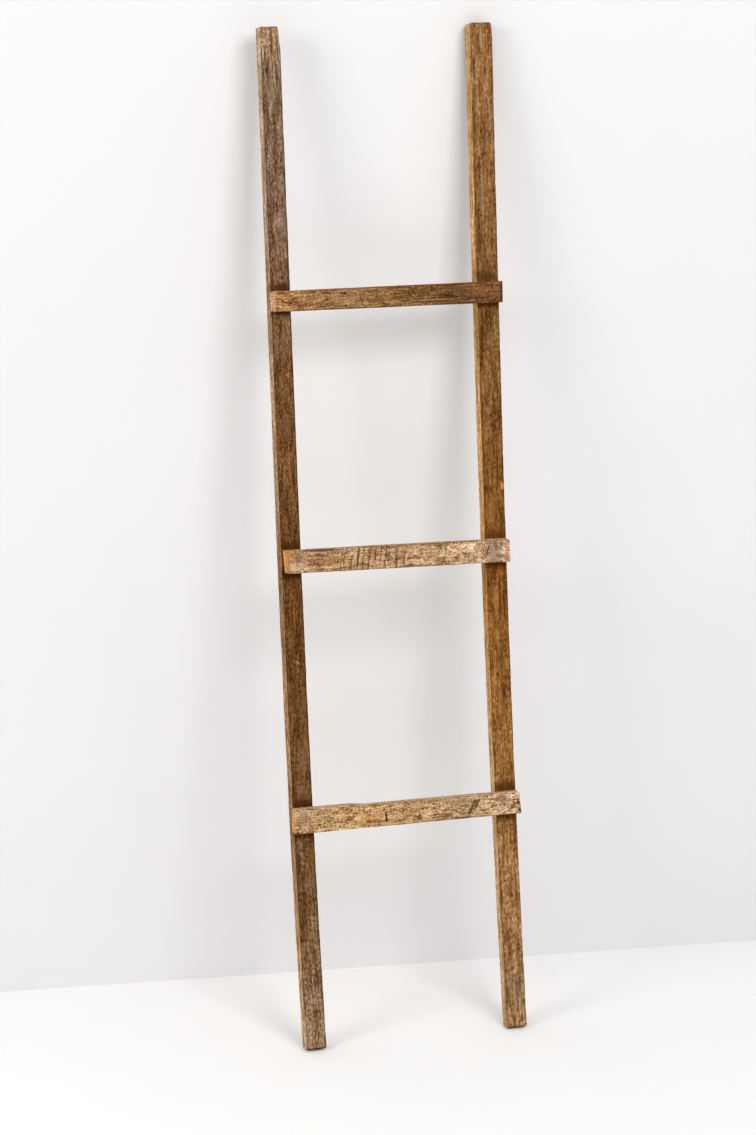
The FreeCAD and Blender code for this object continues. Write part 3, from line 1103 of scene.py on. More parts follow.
def wear_tree() -> Tree:
    """Geometry tree that sinks a batten's surface by wear, grain, chips and saw marks."""
    inputs = {
        "Geometry": ("Geometry", None),
        "Undulation": ("Float", 0.0005),
        "Fibre": ("Float", 0.0002),
        "Chips": ("Float", 0.001),
        "Kerfs": ("Float", 0.0),
        "Kerf pitch": ("Float", 8.0),
        "Kerf slant": ("Float", -0.2),
        "Seed": ("Float", 0.0),
        "Material": ("Material", None),
    }
    outputs = {"Geometry": "Geometry"}
    graph, given, result = new_group("timber_wear", "GeometryNodeTree", inputs, outputs)

    def named(name: str) -> Socket:
        """A vector attribute of the batten."""
        made = graph.node("GeometryNodeInputNamedAttribute", data_type="FLOAT_VECTOR")
        made.inputs["Name"].default_value = name
        return made.outputs["Attribute"]

    place = named("grain")
    front, _, _ = graph.split(named("faces"))
    arris, _, back = graph.split(named("edges"))
    seed = given.outputs["Seed"]
    shift = graph.combine(seed, graph.times(seed, 2.3), 5.0)
    slow, fine, bite = (
        graph.noise(graph.vector("ADD", graph.vector("DIVIDE", place, cell), shift), detail)
        for cell, detail in ((SWELL_CELL, 2.0), (FIBRE_CELL, 3.0), (CHIP_CELL, 3.0))
    )
    lines = kerf_lines(graph, place, given.outputs["Kerf pitch"], given.outputs["Kerf slant"], seed)
    chips = graph.times(graph.spread(bite, *CHIP_EDGE), graph.spread(arris, *CHIP_NEAR))
    sink = graph.plus(
        graph.times(graph.spread(slow, *SWELL_EDGE), given.outputs["Undulation"]),
        graph.times(fine, given.outputs["Fibre"]),
        graph.times(chips, given.outputs["Chips"]),
        graph.times(lines, front, given.outputs["Kerfs"]),
    )
    sink = graph.times(sink, graph.minus(1.0, graph.times(back, BACK_CALM)))
    normal = graph.node("GeometryNodeInputNormal").outputs[0]
    offset = graph.vector("SCALE", normal, graph.times(sink, -1.0))
    moved = graph.node("GeometryNodeSetPosition", {"Geometry": given.outputs["Geometry"], "Offset": offset})
    return dress(graph, given, result, moved)


# ---------------------------------------------------------------- screws

SAME_SCREW = 8.5                # mm within which the frame's points belong to one screw
CORE_SHARE = 0.72               # core radius to shank radius
POINT_SHARE = 3.0               # length of the point to shank radius
THREAD_SHARE = 0.62             # threaded share of the length
RECESS_SPAN = 1.15              # span of the cross recess to head radius
LEAST_RADIUS = 0.0001           # of the very tip, in metres


@dataclass(frozen=True)
class ScrewPlace:
    """One screw of the frame: its axis across and up the ladder, and the depths it spans."""

    x: float
    z: float
    head: float
    tip: float
    head_radius: float


@dataclass
class ScrewSet:
    """The four countersunk screws that hold one rung, driven forward from behind the rails."""

    node: str
    shank_radius: float = 2.0
    thread_pitch: float = 1.8
    recess_width: float = 1.1
    recess_depth: float = 1.9

    def measure(self, stance: Stance) -> list[ScrewPlace]:
        """Finds the screws of the node, one by one.

        Args:
            stance: the ladder's lean.

        Returns:
            The screws in the ladder's own axes.
        """
        self.stance = stance
        loose = Solid(self.node, stance).points
        self.places = []
        while len(loose):
            near = np.hypot(loose[:, 0] - loose[0, 0], loose[:, 2] - loose[0, 2]) < SAME_SCREW * MM
            one, loose = loose[near], loose[~near]
            low, high = one.min(axis=0), one.max(axis=0)
            centre = (low + high) / 2.0
            radius = (high[0] - low[0]) / 2.0
            self.places.append(ScrewPlace(centre[0], centre[2], high[1], low[1], radius))
        return self.places

    def build(self, tree: Tree, material: Material) -> Object:
        """Makes the screws of this rung as one plain mesh.

        Args:
            tree: the geometry tree that makes a screw at each point.
            material: their finish.

        Returns:
            The piece, which stands for its node.
        """
        heads = np.array([(place.x, place.head, place.z) for place in self.places])
        piece = add_mesh(self.node + "_steel", self.stance.to_room(heads).tolist(), [])
        first = self.places[0]
        run_modifier(piece, tree, {
            "Head radius": first.head_radius,
            "Shank radius": self.shank_radius * MM,
            "Length": first.head - first.tip,
            "Thread pitch": self.thread_pitch * MM,
            "Recess width": self.recess_width * MM,
            "Recess depth": self.recess_depth * MM,
            "Lean": self.stance.lean,
            "Seed": len(self.node),
            "Material": material,
        })
        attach(piece, BODY)
        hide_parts(self.node)
        return piece


def screw_tree() -> Tree:
    """Geometry tree that stands a countersunk, threaded, cross-recessed screw on each point."""
    inputs = {
        "Geometry": ("Geometry", None),
        "Head radius": ("Float", 0.004),
        "Shank radius": ("Float", 0.002),
        "Length": ("Float", 0.038),
        "Thread pitch": ("Float", 0.0018),
        "Recess width": ("Float", 0.0011),
        "Recess depth": ("Float", 0.0019),
        "Lean": ("Float", 0.0),
        "Seed": ("Int", 1),
        "Material": ("Material", None),
    }
    outputs = {"Geometry": "Geometry"}
    graph, given, result = new_group("countersunk_screw", "GeometryNodeTree", inputs, outputs)
    head, shank = given.outputs["Head radius"], given.outputs["Shank radius"]
    length, pitch = given.outputs["Length"], given.outputs["Thread pitch"]
    core = graph.times(shank, CORE_SHARE)
    neck = graph.minus(head, core)
    point = graph.times(shank, POINT_SHARE)

    def lowered(shape: object, depth: object) -> Socket:
        """Moves a shape down the screw's axis from its head."""
        offset = graph.combine(0.0, 0.0, graph.times(depth, -1.0))
        return graph.node("GeometryNodeTransform", {"Geometry": shape, "Translation": offset}).outputs[0]

    def cone(top: object, bottom: object, depth: object, sides: int = 28) -> Socket:
        """A solid frustum that stands on the plane z = 0."""
        values = {"Vertices": sides, "Radius Top": top, "Radius Bottom": bottom, "Depth": depth}
        return graph.node("GeometryNodeMeshCone", values).outputs["Mesh"]

    head_cone = lowered(cone(head, core, neck), neck)
    body_length = graph.minus(graph.minus(length, neck), point)
    body = lowered(cone(core, core, body_length, 20), graph.minus(length, point))
    tip = lowered(cone(core, LEAST_RADIUS, point, 20), length)
    threaded = graph.times(length, THREAD_SHARE)
    helix = graph.node("GeometryNodeCurveSpiral", {
        "Resolution": 16, "Rotations": graph.over(threaded, pitch), "Start Radius": core,
        "End Radius": core, "Height": threaded,
    })
    ridge = graph.node("GeometryNodeCurvePrimitiveCircle", {
        "Resolution": 3, "Radius": graph.minus(shank, core),
    })
    thread = graph.node("GeometryNodeCurveToMesh", {0: helix.outputs[0], 1: ridge.outputs[0]})
    for socket in thread.inputs:
        if socket.name == "Fill Caps":
            socket.default_value = True
    thread = lowered(thread.outputs[0], graph.minus(length, graph.times(point, 0.6)))
    recess = graph.node("GeometryNodeJoinGeometry")
    arm = graph.times(head, RECESS_SPAN)
    for size_x, size_y in ((arm, given.outputs["Recess width"]), (given.outputs["Recess width"], arm)):
        size = graph.combine(size_x, size_y, graph.times(given.outputs["Recess depth"], 2.0))
        box = graph.node("GeometryNodeMeshCube", {"Size": size})
        graph.tree.links.new(box.outputs["Mesh"], recess.inputs[0])
    cut = graph.node("GeometryNodeMeshBoolean", operation="DIFFERENCE", solver="EXACT")
    graph.tree.links.new(head_cone, cut.inputs[0])
    graph.tree.links.new(recess.outputs[0], cut.inputs[1])
    for socket in cut.inputs:
        if socket.name == "Self Intersection":
            socket.default_value = True
    whole = graph.node("GeometryNodeJoinGeometry")
    for shape in (cut.outputs["Mesh"], body, tip, thread):
        graph.tree.links.new(shape, whole.inputs[0])
    twist = graph.node("FunctionNodeRandomValue", data_type="FLOAT")
    for socket in twist.inputs:
        if socket.name == "Max" and socket.enabled:
            socket.default_value = math.pi
        if socket.name == "Seed":
            graph.put(socket, given.outputs["Seed"])
    angle = [socket for socket in twist.outputs if socket.enabled][0]
    backwards = graph.minus(-math.pi / 2.0, given.outputs["Lean"])
    turn = graph.node("FunctionNodeEulerToRotation", {0: graph.combine(backwards, 0.0, 0.0)})
    spin = graph.node("FunctionNodeEulerToRotation", {0: graph.combine(0.0, 0.0, angle)})
    both = graph.node("FunctionNodeRotateRotation", {0: turn.outputs[0], 1: spin.outputs[0]},
                      rotation_space="LOCAL")
    stand = graph.node("GeometryNodeInstanceOnPoints", {
        "Points": given.outputs["Geometry"], "Instance": whole.outputs[0], "Rotation": both.outputs[0],
    })
    return dress(graph, given, result, stand)


@dataclass(frozen=True)
class Drill:
    """Makes cutters: bodies turned about the screws' direction, with sizes in millimetres."""

    stance: Stance
    sides: int = 28
    clearance: float = 1.2
    hole_radius: float = 2.3
    hole_reach: float = 40.0
    pilot_radius: float = 2.1
    pilot_past: float = 0.3

    def cutter(self, name: str, bodies: list[tuple[float, float, list]]) -> Object:
        """One object that holds all the cuts of a batten.

        Args:
            name: the object's name.
            bodies: for each cut its x, its z and its profile of (radius, y) from back to front.

        Returns:
            The cutter, with its faces outward; it is deleted after use.
        """
        points, faces = [], []
        for x, z, profile in bodies:
            base = len(points)
            for radius, y in profile:
                for step in range(self.sides):
                    angle = 2.0 * math.pi * step / self.sides
                    points.append((x + radius * math.cos(angle), y, z + radius * math.sin(angle)))
            for row in range(len(profile) - 1):
                first = base + row * self.sides
                for step in range(self.sides):
                    here, following = first + step, first + (step + 1) % self.sides
                    faces.append((here, following, following + self.sides, here + self.sides))
            faces.append(tuple(base + step for step in reversed(range(self.sides))))
            last = base + (len(profile) - 1) * self.sides
            faces.append(tuple(last + step for step in range(self.sides)))
        return add_mesh(name, self.stance.to_room(np.array(points)).tolist(), faces)

    def screw_holes(self, name: str, places: list[ScrewPlace]) -> Object:
        """Countersunk holes for the screws of one rail."""
        past, shank = self.clearance * MM, self.hole_radius * MM
        return self.cutter(name, [(place.x, place.z, [
            (place.head_radius + past, place.head + past),
            (shank, place.head - (place.head_radius - shank)),
            (shank, place.head - self.hole_reach * MM),
        ]) for place in places])

    def pilot_holes(self, name: str, places: list[ScrewPlace], extra: list) -> Object:
        """Holes that the screws' threads fill in a rung, and any old nail holes.

        Args:
            name: the cutter's name.
            places: the rung's screws.
            extra: further bodies, as cutter takes them.

        Returns:
            The cutter.
        """
        radius, past = self.pilot_radius * MM, self.pilot_past * MM
        bodies = [
            (place.x, place.z, [(radius, place.head), (radius, place.tip - past)]) for place in places
        ]
        return self.cutter(name, bodies + extra)


@dataclass(frozen=True)
class NailHole:
    """An old nail hole in a rung's front, in mm from the rung's left end and its mid height."""

    along: float
    across: float
    radius: float
    depth: float


# ---------------------------------------------------------------- finishes of this ladder

# Patches and edge lines are listed one by one; a batten's places are in mm from its low end.

# Colours of the painted shadow below the rungs, on the left rail and on the right rail.
PAINTED_SHADOW = "#3C1704"
PAINTED_SHADOW_WARM = "#552804"


def even(code: str) -> tuple:
    """Stops of a tone that is the same all along a face."""
    return ((0.0, code), (1.0, code))


def rung_shadow(along: float, colour: str = PAINTED_SHADOW, reach: float = 13.0, strength: float = 0.92) -> Patch:
    """Painted shadow on a rail in the corner just below a rung."""
    return Patch(along, 0.0, reach, 70.0, colour, strength, ragged=0.8, soft=0.95)


LEFT_RAIL_FINISH = TimberFinish(
    name="left_rail_wood",
    front=(
        (0.03, "#967858"), (0.15, "#745230"), (0.4, "#66401C"), (0.65, "#6E4826"), (0.85, "#7E604A"),
        (0.95, "#7E644C"), (0.98, "#A68A6A"),
    ),
    low=(
        (0.02, "#D4B08A"), (0.1, "#BE8E5C"), (0.2, "#9A7046"), (0.33, "#B08055"), (0.45, "#8A623E"),
        (0.6, "#B08A62"), (0.85, "#AA866A"), (0.98, "#BEA07C"),
    ),
    high=((0.0, "#7C6046"), (0.5, "#6B4A2C"), (1.0, "#7E644B")),
    back=((0.0, "#8A6C4E"), (0.5, "#7A5837"), (1.0, "#8A7058")),
    low_end="#6B3A20",
    high_end="#9E6C48",
    dark="#341C0B",
    light="#B0916F",
    arris="#3A2412",
    seed=3.0,
    width=3.6,
    streak=40.0,
    nap=6.5,
    broad_tone=3.4,
    streak_tone=6.0,
    nap_tone=8.0,
    fleck_size=2.2,
    fleck_stretch=2.6,
    fleck_light=0.15,
    fleck_dark=0.36,
    dark_gain=1.4,
    light_gain=0.8,
    side_calm=0.0,
    lines=(
        EdgeLine(Face.LOW, "#3F2512", 3.4, 0.85, 55, 392),
        EdgeLine(Face.LOW, "#3A200E", 3, 0.7, 437, 853),
        EdgeLine(Face.LOW, "#43280F", 3.2, 0.75, 895, 1309),
        EdgeLine(Face.LOW, "#4A2E14", 3.6, 0.8, 1347, 1770),
        EdgeLine(Face.HIGH, "#2E1C0E", 2.2, 0.8),
        # painted highlight: a pale line along the front's low arris
        EdgeLine(Face.LOW, "#C9A277", 1.3, 0.9),
    ),
    kerfs=(
        Kerfs(40, 420, 13, 0.25, 0.3),
        Kerfs(600, 1000, 17, -0.4, 0.25),
    ),
    patches=(
        Patch(1710, -5, 34, 6, "#4A2F1C", 0.65, grit=0.6),
        Patch(1655, 4, 60, 8, "#50361F", 0.55, grit=0.7),
        # painted shadow of the gap under the foot's front edge
        Patch(0, 0, 3.4, 60, "#3A1200", 0.9, ragged=0.5),
        Patch(66, 4, 6, 5, "#54371D", 0.8, grit=0.3),
        Patch(125, 10, 22, 5, "#4E3218", 0.8, grit=0.3),
        Patch(120, -8, 40, 3, "#56391E", 0.6, grit=0.4),
        Patch(170, 6, 14, 6, "#54371D", 0.6, grit=0.3),
        Patch(192, -17, 42, 3, "#A5682F", 0.55, ragged=1),
        Patch(200, -15, 10, 3.5, "#3D230E", 0.9),
        Patch(240, -12, 32, 5, "#553818", 0.7, grit=0.4),
        Patch(245, 5, 10, 2.5, "#A06C3C", 0.6, grit=0.3),
        Patch(300, 2, 20, 10, "#95765A", 0.5, grit=0.3),
        Patch(330, -14, 40, 4, "#3E220C", 0.8, grit=0.2),
        Patch(345, 12, 40, 3.5, "#8B5425", 0.6, grit=0.3),
        # painted shadow below the bottom rung, and painted shade in the corner just above it
        rung_shadow(393, reach=18),
        Patch(442, 0, 15, 60, "#452004", 0.85, soft=0.8),
        Patch(460, -14, 16, 9, "#3E220C", 0.6, grit=0.3),
        Patch(480, -15, 35, 5, "#4A2A10", 0.7, grit=0.3),
        Patch(520, 4, 30, 9, "#86644A", 0.55, grit=0.4),
        Patch(560, 12, 60, 4, "#93602E", 0.5, grit=0.4),
        Patch(600, -10, 20, 6, "#93602E", 0.45, grit=0.4),
        Patch(635, -6, 25, 6, "#4B3524", 0.6, grit=0.3),
        Patch(693, 4, 16, 4, "#C59470", 0.9, grit=0.95),
        Patch(720, 2, 12, 6, "#3C2410", 0.55, grit=0.3),
        Patch(815, -2, 16, 6, "#925C2C", 0.45, grit=0.6),
        # painted shadow below the middle rung, and painted shade in the corner just above it
        rung_shadow(853, reach=20),
        Patch(899, 0, 14, 60, "#4A2202", 0.8, soft=0.8),
        Patch(935, -6, 20, 8, "#A06C38", 0.5, grit=0.8),
        Patch(960, 9, 50, 4, "#A87440", 0.6, grit=0.9),
        Patch(1000, -13, 25, 4, "#3F2C1B", 0.7, grit=0.2),
        Patch(1055, 2, 14, 9, "#A0703F", 0.5, grit=0.7),
        Patch(1110, 2, 36, 10, "#8A6A50", 0.5, grit=0.4),
        Patch(1198, 8, 5, 4, "#B5753D", 0.7, grit=0.3),
        Patch(1205, -12, 14, 5, "#4A2A12", 0.6, grit=0.3),
        Patch(1250, -10, 34, 4, "#8F725A", 0.6, grit=0.4),
        # painted shadow below the top rung, and painted shade in the corner just above it
        rung_shadow(1311, reach=15),
        Patch(1351, 0, 12, 40, "#44280C", 0.85, soft=0.8),
        Patch(1420, -3, 55, 4, "#9A7E60", 0.5, grit=0.5),
        Patch(1450, 4, 12, 10, "#3E2813", 0.65, grit=0.4),
        Patch(1510, -11, 70, 4, "#452C16", 0.65, grit=0.3),
        Patch(1520, 3, 50, 4, "#937C66", 0.45, grit=0.5),
        Patch(1585, 1, 10, 8, "#3A2412", 0.6, grit=0.5),
        Patch(1640, -10, 60, 4, "#452E1A", 0.7, grit=0.3),
        Patch(1645, 6, 45, 3, "#9C8064", 0.4, grit=0.5),
        Patch(1700, 2, 36, 6, "#A08868", 0.5, grit=0.6),
        Patch(1712, 10, 26, 3, "#49301A", 0.6, grit=0.3),
        Patch(1725, -8, 9, 4, "#332012", 0.85),
        Patch(1765, 13, 30, 3.5, "#4A3320", 0.7, grit=0.3),
        Patch(1792, 11, 6, 5, "#A8683A", 0.6),
        Patch(1799, 0, 3, 30, "#A5623A", 0.5, ragged=0.6),
        Patch(385, 5, 22, 5, "#4A2C12", 0.6, face=Face.LOW),
        Patch(700, 14, 60, 16, "#7A6A50", 0.35, face=Face.LOW),
        Patch(1000, 16, 90, 12, "#8A7860", 0.4, face=Face.LOW),
        Patch(1480, 3, 60, 3.5, "#6A4526", 0.6, face=Face.LOW),
        Patch(1700, 3, 50, 3, "#6A4A2C", 0.5, face=Face.LOW),
    ),
)

RIGHT_RAIL_FINISH = TimberFinish(
    name="right_rail_wood",
    front=(
        (0.01, "#B08A60"), (0.04, "#8E6E48"), (0.1, "#A2764A"), (0.3, "#926230"), (0.45, "#805020"),
        (0.72, "#745028"), (0.98, "#8C6238"),
    ),
    low=(
        (0.02, "#BC9868"), (0.1, "#C89E6C"), (0.4, "#C8945A"), (0.44, "#A26A2C"), (0.52, "#E0AA6C"),
        (0.7, "#BA8C56"), (0.83, "#D2A26A"), (0.98, "#C0925C"),
    ),
    high=((0.0, "#7A5A3C"), (0.5, "#7A5028"), (1.0, "#80593A")),
    back=((0.0, "#8C6B48"), (0.5, "#845A30"), (1.0, "#8B6540")),
    low_end="#6A3418",
    high_end="#A06A3C",
    dark="#3E210A",
    light="#BC9560",
    arris="#43260F",
    seed=11.0,
    width=3.8,
    streak=50.0,
    nap=6.5,
    broad_tone=3.0,
    streak_tone=5.6,
    nap_tone=6.4,
    fleck_size=2.3,
    fleck_stretch=2.6,
    fleck_dark=0.3,
    dark_gain=1.3,
    light_gain=0.85,
    side_calm=0.15,
    lines=(
        EdgeLine(Face.LOW, "#4A2A10", 2.6, 0.7),
        EdgeLine(Face.HIGH, "#5A2E12", 1.8, 0.6, 60),
        # painted highlight: a pale line along the front's low arris
        EdgeLine(Face.LOW, "#D2A56A", 1.2, 0.9),
    ),
    kerfs=(
        Kerfs(60, 380, 15, -0.5, 0.22),
        Kerfs(560, 840, 16, 0.5, 0.2),
    ),
    patches=(
        # painted shadow of the gap under the foot's front edge
        Patch(0, 0, 2.8, 60, "#5A2408", 0.85, ragged=0.5),
        Patch(4, 13, 4, 6, "#A86A3C", 0.55),
        Patch(20, 16, 24, 2.5, "#A06C3E", 0.6),
        Patch(14, 10, 7, 5, "#4A2E18", 0.6),
        Patch(62, -15, 30, 5, "#574232", 0.75, grit=0.2),
        Patch(70, 4, 30, 10, "#76604C", 0.5, grit=0.3),
        Patch(40, 0, 40, 3, "#A58460", 0.5, slant=2),
        Patch(140, -5, 20, 4, "#54300F", 0.7, grit=0.2),
        Patch(140, 6, 50, 3, "#A97A4C", 0.5, grit=0.3),
        Patch(178, -6, 10, 3, "#54300F", 0.6, grit=0.2),
        Patch(188, 0, 3.5, 14, "#AD8154", 0.6),
        Patch(240, -17, 24, 3.5, "#49280C", 0.75),
        Patch(250, 12, 60, 3, "#6A3F18", 0.5, grit=0.3),
        Patch(292, 0, 10, 4, "#5A3412", 0.6, grit=0.2),
        Patch(335, -16, 5, 4, "#B98450", 0.6),
        # painted shadow below the bottom rung, and painted shade in the corner just above it
        rung_shadow(394, PAINTED_SHADOW_WARM, 20),
        Patch(443, 0, 17, 60, "#502604", 0.85, soft=0.8),
        Patch(490, -6, 26, 6, "#AD7A4A", 0.5, grit=0.3),
        Patch(505, -19, 30, 2.6, "#3F1F08", 0.85),
        Patch(480, 14, 20, 4, "#5A3412", 0.5, grit=0.2),
        Patch(585, 0, 34, 10, "#A8713E", 0.4, grit=0.3),
        Patch(648, -5, 6, 4, "#42220A", 0.8),
        Patch(665, 0, 26, 14, "#6C4620", 0.4, grit=0.3),
        Patch(700, 6, 26, 4, "#42260C", 0.6, grit=0.3),
        Patch(775, -3, 40, 5, "#B27A44", 0.6, grit=0.2),
        Patch(790, 4, 55, 2.5, "#4E2C0C", 0.6, slant=0.6),
        Patch(760, 13, 40, 3, "#472709", 0.6, grit=0.2),
        # painted shadow below the middle rung, and painted shade in the corner just above it
        rung_shadow(851, PAINTED_SHADOW_WARM, 20),
        Patch(899, 0, 17, 60, "#5A2E06", 0.75, soft=0.9),
        Patch(945, -5, 30, 8, "#A0703C", 0.5, grit=0.3),
        Patch(985, -14, 12, 6, "#3E1F08", 0.7, grit=0.3),
        Patch(986, 16, 8, 3.6, "#D09A58", 0.75, ragged=2.2),
        Patch(1010, 8, 36, 4, "#4A2A0C", 0.6, grit=0.2),
        Patch(1060, 0, 30, 12, "#5A3612", 0.4, grit=0.4),
        Patch(1122, -6, 10, 7, "#B08050", 0.6, grit=0.2),
        Patch(1150, 9, 10, 3, "#B88C50", 0.5, grit=0.2),
        Patch(1165, -8, 20, 7, "#8F6B4A", 0.5, grit=0.3),
        Patch(1190, 8, 30, 5, "#412608", 0.5, grit=0.3),
        Patch(1240, -14, 30, 4, "#4A2A0C", 0.6, grit=0.2),
        Patch(1250, 5, 16, 5, "#A2784A", 0.5, grit=0.3),
        # painted shadow below the top rung, and painted shade in the corner just above it
        rung_shadow(1315, PAINTED_SHADOW_WARM, 16),
        Patch(1360, -2, 17, 30, "#54340E", 0.8, soft=0.9),
        Patch(1400, 5, 20, 6, "#A5815C", 0.5, grit=0.4),
        Patch(1430, -14, 60, 4, "#4C2E10", 0.65, grit=0.3),
        Patch(1500, -5, 60, 5, "#A08260", 0.65, grit=0.2),
        Patch(1530, 4, 50, 2.4, "#6A3A14", 0.7, grit=0.1),
        Patch(1575, 9, 35, 3, "#98622C", 0.6),
        Patch(1620, -16, 50, 4, "#5A3614", 0.65, grit=0.2),
        Patch(1650, 4, 40, 2.6, "#8E4C28", 0.65, grit=0.1),
        Patch(1640, 12, 40, 3, "#99806A", 0.5, grit=0.3),
        Patch(1705, 2, 26, 2.4, "#A05438", 0.6, grit=0.1),
        Patch(1720, 10, 26, 3, "#A98662", 0.5, grit=0.3),
        Patch(1715, 19, 60, 2.4, "#8A4420", 0.6),
        Patch(1730, -15, 26, 4, "#4A2A10", 0.65, grit=0.2),
        Patch(1780, 2, 26, 14, "#B08A54", 0.5, grit=0.8),
        Patch(1800, -11, 3, 2.2, "#33190A", 0.9),
        Patch(1770, -6, 26, 8, "#56341A", 0.5, grit=0.7),
        Patch(1462, 2, 30, 3, "#5E3C18", 0.8, face=Face.LOW),
        Patch(1615, 2, 26, 3, "#6A421C", 0.7, face=Face.LOW),
        Patch(1724, 2.5, 12, 3, "#4E3418", 0.8, face=Face.LOW),
        Patch(1755, 8, 14, 7, "#A39448", 0.5, face=Face.LOW),
        Patch(690, 3, 40, 3.5, "#4E2A0E", 0.6, face=Face.LOW),
        Patch(850, 4, 16, 8, "#4E2A0E", 0.6, face=Face.LOW),
    ),
)

TOP_RUNG_FINISH = TimberFinish(
    name="top_rung_wood",
    front=(
        (0.0, "#A07246"), (0.1, "#9A6C40"), (0.34, "#926E48"), (0.5, "#805A32"), (0.65, "#7A5630"),
        (0.76, "#624222"), (1.0, "#78502A"),
    ),
    low=((0.0, "#8A6540"), (1.0, "#6A4A2E")),
    high=((0.0, "#A98560"), (0.5, "#9A7754"), (1.0, "#80603F")),
    back=((0.0, "#A07C55"), (1.0, "#8A6745")),
    low_end="#C79E6C",
    high_end="#4E3826",
    dark="#3D2210",
    light="#C2A079",
    arris="#54331C",
    seed=23.0,
    width=3.6,
    streak=30.0,
    nap=5.6,
    broad_tone=3.6,
    streak_tone=5.5,
    nap_tone=7.0,
    fleck_size=2.2,
    fleck_stretch=2.4,
    fleck_light=0.3,
    fleck_dark=0.4,
    dark_gain=1.6,
    light_gain=0.95,
    lines=(
        EdgeLine(Face.HIGH, "#8E4422", 2.6, 0.85, 60, 330),
        EdgeLine(Face.LOW, "#472A14", 2.4, 0.8, 36, 240),
        EdgeLine(Face.HIGH, "#D3AE82", 1.6, 0.8, -5, 42),
    ),
    patches=(
        Patch(2, 0, 5, 40, "#D2AC78", 0.5, ragged=0.8),
        Patch(18, 1, 2.2, 2.2, "#1E1006", 0.95, ragged=0.5),
        Patch(33, -4, 3.2, 2, "#1E1006", 0.95, ragged=0.7),
        Patch(16, 7, 8, 7, "#AC6E34", 0.6, ragged=1.4, soft=0.9),
        Patch(30, -13, 22, 4, "#C99A66", 0.6, grit=0.2),
        Patch(38, 2, 16, 5, "#5C371A", 0.6, grit=0.3),
        Patch(47, 9, 9, 2.4, "#C0A27C", 0.6),
        Patch(70, 4, 16, 6, "#7A4218", 0.55, grit=0.3),
        Patch(95, 11, 9, 3, "#4E3018", 0.7, grit=0.3),
        Patch(128, 9, 9, 2.6, "#332416", 0.9, grit=0.1),
        Patch(125, -4, 30, 8, "#B4915F", 0.45, grit=0.3),
        Patch(150, -10, 14, 4, "#5C3A1C", 0.5, grit=0.4),
        Patch(185, -5, 20, 6, "#4C2C10", 0.8, grit=0.4),
        Patch(225, -3, 16, 6, "#54331A", 0.6, grit=0.4),
        Patch(262, 6, 28, 7, "#4E3423", 0.6, grit=0.3),
        Patch(290, -9, 55, 1.7, "#A98560", 0.75),
        Patch(285, -11.5, 50, 1.4, "#402615", 0.7),
        Patch(315, -2, 16, 5, "#3F2410", 0.6, grit=0.3),
        Patch(330, 10, 30, 4, "#7E4624", 0.6, grit=0.2),
        Patch(375, 9, 26, 4, "#9A5C34", 0.45, grit=0.3),
        Patch(380, -3, 26, 5, "#7F6450", 0.5, grit=0.3),
        Patch(405, 2, 10, 12, "#82502C", 0.5, grit=0.2),
        Patch(419, 0, 3.5, 40, "#3A2C22", 0.75, ragged=0.8),
    ),
)

